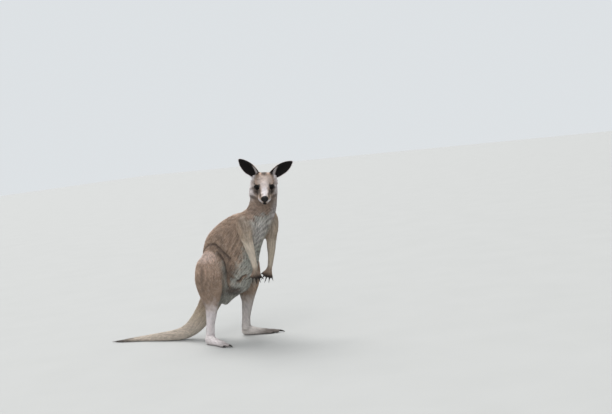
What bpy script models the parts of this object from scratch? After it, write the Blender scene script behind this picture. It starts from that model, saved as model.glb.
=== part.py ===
"""A female eastern grey kangaroo, life size, standing upright on both hind feet and the tail.

Metres, +Z up. The animal faces -Y, its left side is +X, and it stands on the plane z = 0 with the
middle of its bounding box on the Z axis. The chest is turned a little, and the head half way, to
the animal's right. Every solid reaches out to the tips of the coat.

The trunk with head and tail, each arm and each leg are modelled whole: tapering tubes are lofted
through a few stations, fused and smoothed. Thin cuts then part them where a person names the parts.
"""

import math

import bmesh
import bpy
from mathutils import Matrix, Vector

# Driving sizes ------------------------------------------------------------------------------------
GAP = 0.0004  # between two pieces that meet
REACH = 0.4  # half width of a cutting slab

HEAD_YAW = 54.9  # how far the face is turned to the animal's right
HEAD_PITCH = 26.8  # how far the head's long axis points down
HEAD_ROLL = 6.3  # how far the left eye hangs below the right one
EYES_MIDDLE = Vector((-0.030, -0.451, 0.842))
EYE_RADIUS = 0.0145
EYE = Vector((0.0360, -0.011, -0.002))  # centre of the left eye in the head's frame

STANCE = 0.1125  # from the midplane to each heel
HEELS = {"right": 0.016, "left": -0.055}  # y of the back of each heel
SPLAY = {"right": 14.0, "left": 21.0}  # how far each foot turns out
EAR_WALL = 0.004

TRIANGLES = {"trunk": 1950, "leg": 660, "arm": 550}
SIDES = {"right": -1, "left": 1}
# Colour and roughness of the pieces whose name holds the word. The others have the coat's.
FINISHES = {
    "claw": ((0.030, 0.024, 0.020), 0.40),
    "eye": ((0.020, 0.012, 0.008), 0.08),
    "nose": ((0.018, 0.016, 0.016), 0.45),
    "hand": ((0.090, 0.065, 0.050), 0.85),
    "foot": ((0.260, 0.210, 0.175), 0.85),
    "shank": ((0.480, 0.430, 0.370), 0.90),
    "forearm": ((0.500, 0.430, 0.350), 0.90),
    "tail_end": ((0.130, 0.095, 0.075), 0.90),
    "coat": ((0.300, 0.240, 0.200), 0.90),
}


def across(yaw):
    """The direction of the left side of a body that is turned by yaw degrees to its right."""
    a = math.radians(yaw)
    return Vector((math.cos(a), -math.sin(a), 0))


def frame_at(origin, left, forward):
    """Carries x left, y back and z up of a local frame into the body's frame."""
    forward = forward.normalized()
    left = (left - left.dot(forward) * forward).normalized()
    frame = Matrix((left, -forward, forward.cross(left))).transposed().to_4x4()
    frame.translation = origin
    return frame


def head_frame():
    a, pitch = math.radians(HEAD_YAW), math.radians(HEAD_PITCH)
    forward = Vector((-math.sin(a) * math.cos(pitch), -math.cos(a) * math.cos(pitch), -math.sin(pitch)))
    left = across(HEAD_YAW) - Vector((0, 0, math.tan(math.radians(HEAD_ROLL))))
    return frame_at(EYES_MIDDLE, left, forward)


HEAD = head_frame()

# Shaping tools ------------------------------------------------------------------------------------
def spline(rows, per_span):
    """The rows of numbers with Catmull-Rom steps between them."""
    ends = [rows[0], *rows, rows[-1]]
    made = []
    for before, start, finish, after in zip(ends, ends[1:], ends[2:], ends[3:]):
        for step in range(per_span):
            t = step / per_span
            weights = (
                0.5 * (-t + 2 * t**2 - t**3),
                0.5 * (2 - 5 * t**2 + 3 * t**3),
                0.5 * (t + 4 * t**2 - 3 * t**3),
                0.5 * (t**3 - t**2),
            )
            rows_here = zip(before, start, finish, after)
            made.append([sum(w * v for w, v in zip(weights, values)) for values in rows_here])
    return made + [list(rows[-1])]


def end_rings(ring, way):
    """Three rings that round off a tube's end. way is -1 at its start and 1 at its finish."""
    centre, along, side, up, width, top, bottom = ring
    depth = 0.8 * min(width, (top + bottom) / 2)
    made = []
    for degrees in (28, 54, 76):
        a = math.radians(degrees)
        less, out = math.cos(a), math.sin(a) * depth * way
        made.append((centre + along * out, along, side, up, width * less, top * less, bottom * less))
    return made


def loft(form, rows, place=None, per_span=4, around=28):
    """Adds a closed tube with rounded ends to form. A row is x, y, z, half width, extent towards
    the back or the top, extent towards the belly or the bottom, and the yaw of the width."""
    rows = spline(rows, per_span)
    centres = [Vector(row[:3]) for row in rows]
    rings = []
    for i, (centre, row) in enumerate(zip(centres, rows)):
        along = (centres[min(i + 1, len(rows) - 1)] - centres[max(i - 1, 0)]).normalized()
        side = across(row[6])
        side = (side - side.dot(along) * along).normalized()
        rings.append((centre, along, side, along.cross(side), *row[3:6]))
    rings = end_rings(rings[0], -1)[::-1] + rings + end_rings(rings[-1], 1)
    loops = []
    for centre, along, side, up, width, top, bottom in rings:
        loop = []
        for k in range(around):
            a = 2 * math.pi * k / around
            reach = top if math.sin(a) > 0 else bottom
            point = centre + side * (width * math.cos(a)) + up * (reach * math.sin(a))
            loop.append(form.verts.new(place @ point if place else point))
        loops.append(loop)
    for first, second in zip(loops, loops[1:]):
        for k in range(around):
            form.faces.new((first[k - 1], first[k], second[k], second[k - 1]))
    form.faces.new(loops[0])
    form.faces.new(loops[-1][::-1])


def tube(form, rows, place=None, per_span=4, around=12):
    """Adds a round tube. A row is x, y, z and radius."""
    loft(form, [(x, y, z, r, r, r, 0) for x, y, z, r in rows], place, per_span, around)


def ball(form, centre, sizes, place=None, turn=0.0, segments=24, rings=14):
    """Adds an ellipsoid. sizes are its half width, length and height, and turn tips its front down."""
    matrix = Matrix.Translation(centre) @ Matrix.Rotation(math.radians(turn), 4, "X")
    matrix = matrix @ Matrix.Diagonal((*sizes, 1))
    matrix = place @ matrix if place else matrix
    bmesh.ops.create_uvsphere(form, u_segments=segments, v_segments=rings, radius=1, matrix=matrix)


def object_of(form, name):
    bmesh.ops.recalc_face_normals(form, faces=form.faces)
    mesh = bpy.data.meshes.new(name)
    form.to_mesh(mesh)
    form.free()
    obj = bpy.data.objects.new(name, mesh)
    bpy.context.scene.collection.objects.link(obj)
    return obj


def apply_modifiers(obj):
    graph = bpy.context.evaluated_depsgraph_get()
    mesh = bpy.data.meshes.new_from_object(obj.evaluated_get(graph))
    old = obj.data
    obj.modifiers.clear()
    obj.data = mesh
    bpy.data.meshes.remove(old)


def boolean(obj, other, operation):
    """Cuts obj with other, or keeps what both share. other is removed."""
    cut = obj.modifiers.new("Cut", "BOOLEAN")
    cut.operation = operation
    cut.solver = "EXACT"
    cut.object = other
    apply_modifiers(obj)
    bpy.data.objects.remove(other)


def copy_of(obj, grown=0.0):
    """A copy of the object, with its surface moved out by grown."""
    form = bmesh.new()
    form.from_mesh(obj.data)
    form.normal_update()
    moves = [vert.normal * grown for vert in form.verts]
    for vert, move in zip(form.verts, moves):
        vert.co += move
    return object_of(form, obj.name + " copy")


def fused(form, name, voxel, triangles, smoothing=5):
    """The form's overlapping tubes made one closed and smooth skin, of few triangles if asked."""
    obj = object_of(form, name)
    remesh = obj.modifiers.new("Fuse", "REMESH")
    remesh.mode = "VOXEL"
    remesh.voxel_size = voxel
    smooth = obj.modifiers.new("Soften", "SMOOTH")
    smooth.factor = 0.5
    smooth.iterations = smoothing
    apply_modifiers(obj)
    if triangles:
        obj.data.calc_loop_triangles()
        thin = obj.modifiers.new("Thin out", "DECIMATE")
        thin.ratio = triangles / len(obj.data.loop_triangles)
        thin.use_collapse_triangulate = True
        apply_modifiers(obj)
    return obj


def block(centre, sizes, turn):
    form = bmesh.new()
    matrix = Matrix.Translation(centre) @ turn.to_4x4() @ Matrix.Diagonal((*sizes, 1))
    bmesh.ops.create_cube(form, size=1, matrix=matrix)
    return object_of(form, "block")


def slab(centre, normal, width):
    """A thin square plate across normal. width is half its side."""
    turn = Vector(normal).to_track_quat("Z", "Y").to_matrix()
    return block(Vector(centre), (2 * width, 2 * width, GAP), turn)


def below_ground():
    return block(Vector((0, 0, -0.5)), (3, 3, 1), Matrix.Identity(3))


def pieces_of(obj):
    """The loose pieces of the object, each as its own object. obj is removed."""
    form = bmesh.new()
    form.from_mesh(obj.data)
    bpy.data.objects.remove(obj)
    made = []
    while form.verts:
        form.verts.ensure_lookup_table()
        reached = {form.verts[0]}
        front = [form.verts[0]]
        while front:
            near = [edge.other_vert(vert) for vert in front for edge in vert.link_edges]
            front = list(set(near) - reached)
            reached.update(front)
        piece = bmesh.new()
        twins = {vert: piece.verts.new(vert.co) for vert in reached}
        for face in form.faces:
            if face.verts[0] in reached:
                piece.faces.new([twins[vert] for vert in face.verts])
        bmesh.ops.delete(form, geom=list(reached), context="VERTS")
        made.append(object_of(piece, "piece"))
    form.free()
    return made


def carve(obj, region, name):
    """Takes what lies inside the region out of the object as a piece of its own."""
    piece = copy_of(obj)
    piece.name = name
    boolean(obj, copy_of(region, GAP), "DIFFERENCE")
    boolean(piece, region, "INTERSECT")


def part(obj, cuts, seeds):
    """Cuts the object with thin slabs. Each piece takes the name of the seed point nearest to it."""
    for centre, normal, width in cuts:
        boolean(obj, slab(centre, normal, width), "DIFFERENCE")
    found = {}
    for piece in pieces_of(obj):
        middle = sum((vert.co for vert in piece.data.vertices), Vector()) / len(piece.data.vertices)
        name = min(seeds, key=lambda seed: (Vector(seeds[seed]) - middle).length)
        if name in found and len(found[name].data.vertices) > len(piece.data.vertices):
            bpy.data.objects.remove(piece)
            continue
        if name in found:
            bpy.data.objects.remove(found[name])
        piece.name = name
        found[name] = piece
    return found


def fit(obj, against):
    """Cuts away what lies inside the other object, with a gap."""
    boolean(obj, copy_of(against, GAP), "DIFFERENCE")


def claw(name, base, direction, bend, length, radius, around=6):
    """A curved cone. It starts inside the digit's tip and points along direction, then bend."""
    form = bmesh.new()
    direction, bend = Vector(direction).normalized(), Vector(bend).normalized()
    side = direction.cross(bend).normalized()
    loops = []
    for t, size in ((-0.15, 1.0), (0.30, 0.85), (0.68, 0.50)):
        centre = Vector(base) + direction * (length * t) + bend * (length * 0.30 * max(t, 0) ** 2)
        up = direction.cross(side)
        loop = []
        for k in range(around):
            a = 2 * math.pi * k / around
            out = side * math.cos(a) * 0.8 + up * math.sin(a)
            loop.append(form.verts.new(centre + out * radius * size))
        loops.append(loop)
    tip = form.verts.new(Vector(base) + direction * length + bend * (length * 0.30))
    for first, second in zip(loops, loops[1:]):
        for k in range(around):
            form.faces.new((first[k - 1], first[k], second[k], second[k - 1]))
    for k in range(around):
        form.faces.new((loops[-1][k - 1], loops[-1][k], tip))
    form.faces.new(loops[0])
    return object_of(form, name)


# Trunk, neck, head and tail -----------------------------------------------------------------------
#   x, y, z, half width, back, belly, yaw
TRUNK = (
    (0.000, -0.005, 0.270, 0.062, 0.064, 0.112, 0),
    (0.000, -0.037, 0.334, 0.086, 0.098, 0.158, 0),
    (0.000, -0.080, 0.409, 0.106, 0.138, 0.186, 0),
    (-0.002, -0.124, 0.473, 0.114, 0.168, 0.206, 3),
    (-0.005, -0.183, 0.530, 0.109, 0.158, 0.186, 6),
    (-0.010, -0.250, 0.582, 0.101, 0.134, 0.140, 10),
    (-0.016, -0.312, 0.623, 0.093, 0.104, 0.098, 14),
    (-0.015, -0.360, 0.667, 0.086, 0.076, 0.076, 20),
    (-0.008, -0.396, 0.713, 0.079, 0.057, 0.074, 28),
    (-0.002, -0.412, 0.766, 0.075, 0.057, 0.066, 38),
    (0.000, -0.422, 0.821, 0.075, 0.056, 0.056, 46),
    (0.004, -0.426, 0.860, 0.069, 0.048, 0.048, 50),
)
#   ahead of the eyes, height of the axis, half width, up, down
SKULL = (
    (-0.078, -0.010, 0.045, 0.034, 0.050),
    (-0.064, -0.005, 0.058, 0.045, 0.060),
    (-0.044, 0.000, 0.064, 0.052, 0.064),
    (-0.018, 0.000, 0.055, 0.049, 0.060),
    (0.010, -0.003, 0.043, 0.042, 0.050),
    (0.036, -0.008, 0.035, 0.033, 0.042),
    (0.060, -0.014, 0.034, 0.027, 0.036),
    (0.085, -0.019, 0.034, 0.023, 0.030),
    (0.106, -0.021, 0.028, 0.020, 0.024),
)
#   x, y, z, radius
TAIL = (
    (0.000, -0.005, 0.320, 0.072),
    (0.000, 0.020, 0.262, 0.068),
    (-0.004, 0.052, 0.208, 0.062),
    (-0.012, 0.094, 0.153, 0.056),
    (-0.022, 0.138, 0.106, 0.051),
    (-0.030, 0.190, 0.065, 0.045),
    (-0.042, 0.255, 0.038, 0.038),
    (-0.062, 0.325, 0.0280, 0.0322),
    (-0.080, 0.408, 0.0218, 0.0272),
    (-0.097, 0.490, 0.0168, 0.0222),
    (-0.121, 0.567, 0.0126, 0.0182),
    (-0.148, 0.636, 0.0086, 0.0144),
    (-0.165, 0.704, 0.0048, 0.0100),
)
# Rounded masses in the head's frame: the left one of each pair, or one on the midline.
FACE = (
    ((0.036, 0.045, -0.036), (0.027, 0.034, 0.030)),  # jaw muscle
    ((0.028, 0.002, 0.0165), (0.019, 0.024, 0.0105)),  # brow
    ((0.032, 0.008, -0.021), (0.018, 0.024, 0.010)),  # cheekbone below the eye
    ((0.017, -0.088, -0.026), (0.019, 0.026, 0.018)),  # upper lip
)
CHIN = ((0.0, -0.084, -0.048), (0.021, 0.030, 0.013))
NOSE = ((0.0, -0.114, -0.012), (0.0195, 0.014, 0.0170))
NOSE_PAD = ((0.0, -0.130, -0.011), (0.0200, 0.021, 0.0180))
POUCH = ((-0.004, -0.170, 0.318), (0.076, 0.072, 0.058))
CLOACA = ((0.0, -0.062, 0.212), (0.022, 0.024, 0.028))

TRUNK_SEEDS = {
    "head": (-0.040, -0.460, 0.850),
    "neck": (-0.004, -0.409, 0.750),
    "chest": (-0.012, -0.300, 0.630),
    "abdomen": (0.0, -0.110, 0.420),
    "tail_root": (-0.006, 0.070, 0.180),
    "tail_middle": (-0.060, 0.290, 0.035),
    "tail_end": (-0.130, 0.590, 0.013),
}
TRUNK_CUTS = (
    (HEAD @ Vector((0.0, 0.040, -0.072)), HEAD.to_3x3() @ Vector((0.0, 0.17, -0.98)), 0.16),
    ((-0.016, -0.370, 0.690), (0.0, -0.45, 0.89), 0.16),
    ((-0.008, -0.215, 0.555), (0.0, -0.75, 0.66), 0.22),
    ((0.0, 0.020, 0.232), (0.0, -0.62, 0.78), 0.13),
    ((-0.020, 0.150, 0.085), (0.15, -0.80, 0.58), 0.09),
    ((-0.090, 0.450, 0.022), (0.20, -0.98, 0.0), 0.07),
)


# In the head's frame: the mouth's corner behind the eyes' middle, the mouth's line and the chin.
JAW_BACK, MOUTH_LINE, JAW_BOTTOM = -0.040, -0.0425, -0.069
MUZZLE_END = -0.200


def jaw_region():
    middle = Vector((0, (JAW_BACK + MUZZLE_END) / 2, (MOUTH_LINE + JAW_BOTTOM) / 2))
    sizes = (0.2, JAW_BACK - MUZZLE_END, MOUTH_LINE - JAW_BOTTOM)
    return block(HEAD @ middle, sizes, HEAD.to_3x3())


def nose_region():
    form = bmesh.new()
    ball(form, *NOSE_PAD, HEAD, segments=16, rings=10)
    return object_of(form, "nose region")


def mirrored(point, sign):
    return Vector((point[0] * sign, point[1], point[2]))


def whole_trunk():
    form = bmesh.new()
    loft(form, TRUNK)
    tube(form, TAIL, around=24)
    for centre, sizes in (POUCH, CLOACA):
        ball(form, centre, sizes)
    body = fused(form, "body", 0.0085, None, 14)
    form = bmesh.new()
    form.from_mesh(body.data)
    bpy.data.objects.remove(body)
    skull = [(0, -ahead, height, width, up, down, 0) for ahead, height, width, up, down in SKULL]
    loft(form, skull, HEAD)
    for centre, sizes in FACE:
        for sign in SIDES.values():
            ball(form, mirrored(centre, sign), sizes, HEAD)
    for centre, sizes in (CHIN, NOSE):
        ball(form, centre, sizes, HEAD)
    return fused(form, "trunk", 0.0045, TRIANGLES["trunk"], 6)


# Ears ---------------------------------------------------------------------------------------------
#   share of the length, half width, half angle of the curl
EAR = (
    (0.00, 0.020, 1.50),
    (0.12, 0.026, 1.45),
    (0.28, 0.0325, 1.25),
    (0.45, 0.0355, 1.10),
    (0.62, 0.0330, 0.95),
    (0.78, 0.0255, 0.85),
    (0.90, 0.016, 0.75),
    (0.97, 0.009, 0.65),
    (1.00, 0.004, 0.60),
)
EAR_BASES = {"right": Vector((-0.036, 0.050, 0.024)), "left": Vector((0.036, 0.050, 0.024))}
EAR_TIPS = {"right": Vector((-0.100, -0.354, 0.997)), "left": Vector((0.080, -0.573, 0.952))}


def ear(side, across_steps=7):
    """A curled leaf with its hollow turned to the front."""
    base = HEAD @ EAR_BASES[side]
    along = (EAR_TIPS[side] - base).normalized()
    length = (EAR_TIPS[side] - base).length
    facing = HEAD.to_3x3() @ Vector((0.30 * SIDES[side], -1.0, 0.15))
    facing = (facing - facing.dot(along) * along).normalized()
    wide = along.cross(facing)
    form = bmesh.new()
    inner, outer = [], []
    for share, width, angle in EAR:
        radius = width / math.sin(angle)
        centre = base + along * (length * share)
        for sheet, reach in ((inner, radius - EAR_WALL / 2), (outer, radius + EAR_WALL / 2)):
            row = []
            for k in range(across_steps + 1):
                a = angle * (2 * k / across_steps - 1)
                point = centre + wide * (reach * math.sin(a))
                point = point - facing * (reach * math.cos(a) - radius * math.cos(angle))
                row.append(form.verts.new(point))
            sheet.append(row)
    for sheet in (inner, outer):
        for first, second in zip(sheet, sheet[1:]):
            for k in range(across_steps):
                form.faces.new((first[k], first[k + 1], second[k + 1], second[k]))
    for k in range(across_steps):
        form.faces.new((inner[0][k], inner[0][k + 1], outer[0][k + 1], outer[0][k]))
        form.faces.new((inner[-1][k], inner[-1][k + 1], outer[-1][k + 1], outer[-1][k]))
    for i in range(len(EAR) - 1):
        for k in (0, across_steps):
            form.faces.new((inner[i][k], inner[i + 1][k], outer[i + 1][k], outer[i][k]))
    return object_of(form, f"ear_{side}")


# Legs ---------------------------------------------------------------------------------------------
#   out from the heel, behind the ankle, z, half width, front, back
LEG = (
    (-0.036, -0.034, 0.490, 0.036, 0.046, 0.040),
    (-0.016, -0.046, 0.462, 0.052, 0.084, 0.066),
    (0.000, -0.045, 0.420, 0.059, 0.097, 0.078),
    (0.006, -0.041, 0.371, 0.058, 0.098, 0.083),
    (0.006, -0.037, 0.321, 0.052, 0.094, 0.079),
    (0.004, -0.034, 0.275, 0.044, 0.080, 0.064),
    (0.002, -0.033, 0.235, 0.037, 0.060, 0.044),
    (0.001, -0.031, 0.200, 0.032, 0.044, 0.033),
    (0.000, -0.024, 0.160, 0.027, 0.034, 0.030),
    (0.000, -0.013, 0.110, 0.0235, 0.026, 0.026),
    (0.000, -0.006, 0.070, 0.0240, 0.026, 0.027),
    (0.000, -0.002, 0.045, 0.0245, 0.028, 0.028),
)
ANKLE = 0.034  # ahead of the back of the heel
#   ahead of the back of the heel, height of the axis, half width, up, down
FOOT = (
    (0.014, 0.022, 0.018, 0.020, 0.026),
    (0.036, 0.028, 0.0245, 0.030, 0.032),
    (0.070, 0.023, 0.0245, 0.023, 0.027),
    (0.110, 0.018, 0.0235, 0.018, 0.022),
    (0.145, 0.015, 0.0240, 0.016, 0.019),
    (0.165, 0.013, 0.0200, 0.013, 0.016),
)
# Toes: number, out from the axis at the root and at the tip, tip ahead of the heel, radius, claw
TOES = (
    (2, -0.0145, -0.0185, 0.176, 0.0062, 0.012),
    (3, -0.0075, -0.0085, 0.180, 0.0062, 0.012),
    (4, 0.0030, 0.0035, 0.214, 0.0125, 0.036),
    (5, 0.0170, 0.0230, 0.186, 0.0092, 0.024),
)


def leg_frame(side):
    a = math.radians(SPLAY[side])
    forward = Vector((SIDES[side] * math.sin(a), -math.cos(a), 0))
    return frame_at(Vector((SIDES[side] * STANCE, HEELS[side], 0)), Vector((1, 0, 0)), forward)


def leg(side):
    sign = SIDES[side]
    form = bmesh.new()
    ankle_y = HEELS[side] - ANKLE
    rows = [
        (sign * (STANCE + out), ankle_y + behind, z, width, front, back, 0)
        for out, behind, z, width, front, back in LEG
    ]
    loft(form, rows)
    place = leg_frame(side)
    loft(form, [(0, -ahead, height, width, up, down, 0) for ahead, height, width, up, down in FOOT], place)
    claws = []
    for number, root, tip, ahead, radius, length in TOES:
        rows = (
            (sign * root, -0.125, 0.014, radius),
            (sign * (root + tip) / 2, -(0.125 + ahead) / 2, radius + 0.002, radius),
            (sign * tip, -ahead, radius - 0.001, radius),
        )
        tube(form, rows, place)
        base = place @ Vector((sign * tip, -ahead - 0.7 * radius, radius))
        forward = place.to_3x3() @ Vector((sign * 0.05, -1, -0.02))
        shape = (base, forward, (0, 0, -1), length, radius * 0.55)
        claws.append(claw(f"foot_{side}_claw_{number}", *shape))
    body = fused(form, f"leg_{side}", 0.0036, TRIANGLES["leg"])
    boolean(body, below_ground(), "DIFFERENCE")
    for piece in claws:
        fit(piece, body)
    seeds = {
        f"thigh_{side}": (sign * 0.12, ankle_y - 0.03, 0.40),
        f"shank_{side}": (sign * STANCE, ankle_y, 0.19),
        f"foot_{side}": place @ Vector((0, -0.12, 0.02)),
    }
    cuts = (
        ((sign * STANCE, ankle_y - 0.03, 0.285), (0, 0.40, 0.92), REACH),
        ((sign * STANCE, ankle_y, 0.062), (0, -0.25, 0.97), REACH),
    )
    return body, cuts, seeds


# Arms ---------------------------------------------------------------------------------------------
#   x, y, z, radius, from the shoulder to the wrist
ARMS = {
    "right": (
        (-0.060, -0.312, 0.690, 0.030),
        (-0.090, -0.332, 0.660, 0.046),
        (-0.107, -0.348, 0.610, 0.039),
        (-0.112, -0.358, 0.568, 0.031),
        (-0.111, -0.370, 0.519, 0.026),
        (-0.109, -0.381, 0.465, 0.0185),
        (-0.107, -0.386, 0.416, 0.0155),
    ),
    "left": (
        (0.030, -0.385, 0.715, 0.030),
        (0.052, -0.396, 0.668, 0.044),
        (0.062, -0.394, 0.606, 0.038),
        (0.062, -0.384, 0.552, 0.030),
        (0.055, -0.382, 0.503, 0.025),
        (0.046, -0.379, 0.447, 0.018),
        (0.036, -0.372, 0.398, 0.0150),
    ),
}
HAND_AIM = {"right": Vector((0.10, 0.10, -1.0)), "left": Vector((-0.28, 0.31, -0.91))}
HAND_ACROSS = Vector((0.577, -0.809, -0.114))
#   along the hand, half width, half thickness
PALM = ((-0.006, 0.0155, 0.0140), (0.014, 0.0180, 0.0125), (0.034, 0.0215, 0.0100))
# Fingers: number, sideways at the root and at the tip, tip along the hand, claw
FINGERS = (
    (1, -0.0165, -0.0300, 0.045, 0.018),
    (2, -0.0110, -0.0185, 0.062, 0.022),
    (3, 0.0000, -0.0010, 0.068, 0.023),
    (4, 0.0105, 0.0165, 0.063, 0.022),
    (5, 0.0165, 0.0290, 0.050, 0.019),
)
FINGER_RADIUS = 0.0062


def arm(side):
    form = bmesh.new()
    rows = ARMS[side]
    tube(form, rows, around=18)
    place = frame_at(Vector(rows[-1][:3]), HAND_ACROSS, HAND_AIM[side])
    loft(form, [(0, -along, 0, width, thick, thick, 0) for along, width, thick in PALM], place, around=16)
    claws = []
    for number, root, tip, along, length in FINGERS:
        rows_here = (
            (root, -0.026, 0.0, FINGER_RADIUS),
            ((root + tip) / 2, -(0.026 + along) / 2, 0.004, FINGER_RADIUS),
            (tip, -along, 0.0, FINGER_RADIUS * 0.9),
        )
        tube(form, rows_here, place)
        aim = Vector(((tip - root) * 1.2, -along + 0.026, -0.005)).normalized()
        base = place @ (Vector((tip, -along, 0.0)) + aim * FINGER_RADIUS * 0.7)
        shape = (base, place.to_3x3() @ aim, place.to_3x3() @ Vector((0, 0, -1)), length, 0.0034)
        claws.append(claw(f"hand_{side}_claw_{number}", *shape))
    body = fused(form, f"arm_{side}", 0.0026, TRIANGLES["arm"])
    for piece in claws:
        fit(piece, body)
    elbow, wrist = Vector(rows[3][:3]), Vector(rows[-1][:3])
    seeds = {
        f"upper_arm_{side}": (Vector(rows[1][:3]) + elbow) / 2,
        f"forearm_{side}": (elbow + wrist) / 2,
        f"hand_{side}": place @ Vector((0, -0.035, 0)),
    }
    cuts = ((elbow, (0, -0.25, 1), REACH), (wrist, HAND_AIM[side], 0.05))
    return body, cuts, seeds


# Putting the pieces together ----------------------------------------------------------------------
def eye(side):
    form = bmesh.new()
    ball(form, mirrored(EYE, SIDES[side]), (EYE_RADIUS,) * 3, HEAD, segments=12, rings=8)
    return object_of(form, f"eye_{side}")


def centre_on_axis():
    """Moves all pieces so that the middle of their bounding box is on the Z axis."""
    corners = [vert.co for obj in bpy.data.objects for vert in obj.data.vertices]
    low = Vector([min(corner[i] for corner in corners) for i in range(3)])
    high = Vector([max(corner[i] for corner in corners) for i in range(3)])
    move = Matrix.Translation((-(low.x + high.x) / 2, -(low.y + high.y) / 2, -low.z))
    for obj in bpy.data.objects:
        obj.data.transform(move)


def paint():
    """Gives each piece its own material and rounds off the shading."""
    for obj in bpy.data.objects:
        kind = next((kind for kind in FINISHES if kind in obj.name), "coat")
        colour, roughness = FINISHES[kind]
        material = bpy.data.materials.new(obj.name)
        material.use_nodes = True
        shader = material.node_tree.nodes["Principled BSDF"]
        shader.inputs["Base Color"].default_value = (*colour, 1)
        shader.inputs["Roughness"].default_value = roughness
        shader.inputs["Metallic"].default_value = 0.0
        obj.data.materials.clear()
        obj.data.materials.append(material)
        obj.data.shade_smooth()
        obj.data.set_sharp_from_angle(angle=math.radians(40))


def main():
    for obj in list(bpy.data.objects):
        bpy.data.objects.remove(obj)
    trunk = whole_trunk()
    boolean(trunk, below_ground(), "DIFFERENCE")
    for side in SIDES:
        for limb in (leg, arm):
            body, cuts, seeds = limb(side)
            fit(body, trunk)
            part(body, cuts, seeds)
        fit(ear(side), trunk)
        boolean(trunk, copy_of(eye(side), GAP), "DIFFERENCE")
    carve(trunk, nose_region(), "nose_pad")
    carve(trunk, jaw_region(), "lower_jaw")
    part(trunk, TRUNK_CUTS, TRUNK_SEEDS)
    centre_on_axis()
    paint()


main()
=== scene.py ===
"""A female eastern grey kangaroo as a life-size museum model.

One skin is worked over the solids of the body, and the coat is set into it lock by lock. Eyes,
lashes, whiskers and claws are separate pieces. Metres, +Z up, the body faces -Y.
"""

import math

import bmesh
import bpy
import numpy as np
from mathutils import Matrix, Vector
from mathutils.bvhtree import BVHTree
from mathutils.kdtree import KDTree


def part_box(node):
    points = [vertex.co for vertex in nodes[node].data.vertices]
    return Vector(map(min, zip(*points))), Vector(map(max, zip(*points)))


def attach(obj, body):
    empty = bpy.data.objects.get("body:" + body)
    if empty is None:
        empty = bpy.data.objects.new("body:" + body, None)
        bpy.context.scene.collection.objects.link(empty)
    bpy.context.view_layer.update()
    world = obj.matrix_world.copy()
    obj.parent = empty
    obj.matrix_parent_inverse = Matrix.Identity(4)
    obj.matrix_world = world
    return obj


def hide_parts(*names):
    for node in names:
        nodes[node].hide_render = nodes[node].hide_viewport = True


# Frame --------------------------------------------------------------------------------------------
# The solids of the body, which reach out to the tips of the coat. They stand on a level floor and
# carry everything below.
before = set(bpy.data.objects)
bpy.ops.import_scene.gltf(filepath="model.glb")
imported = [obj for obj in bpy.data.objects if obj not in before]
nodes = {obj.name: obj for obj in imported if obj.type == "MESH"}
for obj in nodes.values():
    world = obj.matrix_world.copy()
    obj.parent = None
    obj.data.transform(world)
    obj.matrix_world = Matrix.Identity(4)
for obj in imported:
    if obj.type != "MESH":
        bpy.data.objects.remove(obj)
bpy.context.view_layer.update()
chance = np.random.default_rng(7)


# Body form ----------------------------------------------------------------------------------------
# The skin is one closed sheet over all the flesh. The solids are fused, a hair's breadth swollen so
# that the cuts between them close, and then rubbed fair, most of all where arms and legs join.
FLESH = sorted(name for name in nodes if "claw" not in name and "eye" not in name)
SWELL = 0.0004
SKIN_MESH = 0.0029  # width of the skin's faces, away from the head
FAIRING, JOINT_FAIRING, CUT_FAIRING = 5, 60, 25  # how often each is rubbed
RUB = 0.6  # how far a point goes each time, as a share of the way to its neighbours' middle
SHOULDERS = ((-0.100, -0.400, 0.700, 0.085), (0.045, -0.455, 0.705, 0.085))  # centre and reach
HIPS = ((-0.105, -0.085, 0.520, 0.075), (0.105, -0.155, 0.520, 0.085), (-0.027, -0.140, 0.208, 0.050))
ARMPIT = (0.0255, -0.4270, 0.5650, 0.0110)  # the coat closes a small gap below the left arm
CUT_GAP, CUT_REACH = 0.0006, 0.012  # solids parted by a cut lie this close, and its trace this wide


def rows_of(items, key, width, kind=float):
    """One row of numbers for each of a mesh's items."""
    flat = np.empty(len(items) * width, kind)
    items.foreach_get(key, flat)
    return flat.reshape(-1, width)


def places(mesh):
    return rows_of(mesh.vertices, "co", 3)


def put_places(mesh, points):
    mesh.vertices.foreach_set("co", points.ravel())
    mesh.update()


def outward(mesh):
    return rows_of(mesh.vertices, "normal", 3)


def unit(vectors):
    return vectors / np.maximum(np.linalg.norm(vectors, axis=-1, keepdims=True), 1e-9)


def ease(low, high, values):
    """0 below low, 1 above high, and a smooth step between."""
    t = np.clip((values - low) / (high - low), 0, 1)
    return t * t * (3 - 2 * t)


def with_modifier(mesh, kind, **settings):
    """A new mesh with one modifier applied."""
    holder = bpy.data.objects.new("holder", mesh)
    bpy.context.scene.collection.objects.link(holder)
    modifier = holder.modifiers.new(kind, kind)
    for key, value in settings.items():
        setattr(modifier, key, value)
    graph = bpy.context.evaluated_depsgraph_get()
    made = bpy.data.meshes.new_from_object(holder.evaluated_get(graph))
    bpy.data.objects.remove(holder)
    return made


def web_of(mesh):
    """Which points are joined by edges: the neighbours of all points in a row, where each point's
    own begin, and how many it has."""
    ends = rows_of(mesh.edges, "vertices", 2, np.int32)
    both = np.concatenate([ends, ends[:, ::-1]])
    both = both[np.argsort(both[:, 0], kind="stable")]
    counts = np.bincount(both[:, 0], minlength=len(mesh.vertices))
    starts = np.concatenate([[0], np.cumsum(counts)[:-1]])
    return both[:, 1], starts, counts[:, None]


def spread(web, values, times, share=RUB):
    """Values averaged with their neighbours'. share may differ from point to point."""
    near, starts, counts = web
    for _ in range(times):
        values = values + share * (np.add.reduceat(values[near], starts, axis=0) / counts - values)
    return values


def mesh_of(form, name):
    """The finished mesh of a form, which is freed."""
    mesh = bpy.data.meshes.new(name)
    form.to_mesh(mesh)
    form.free()
    return mesh


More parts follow.
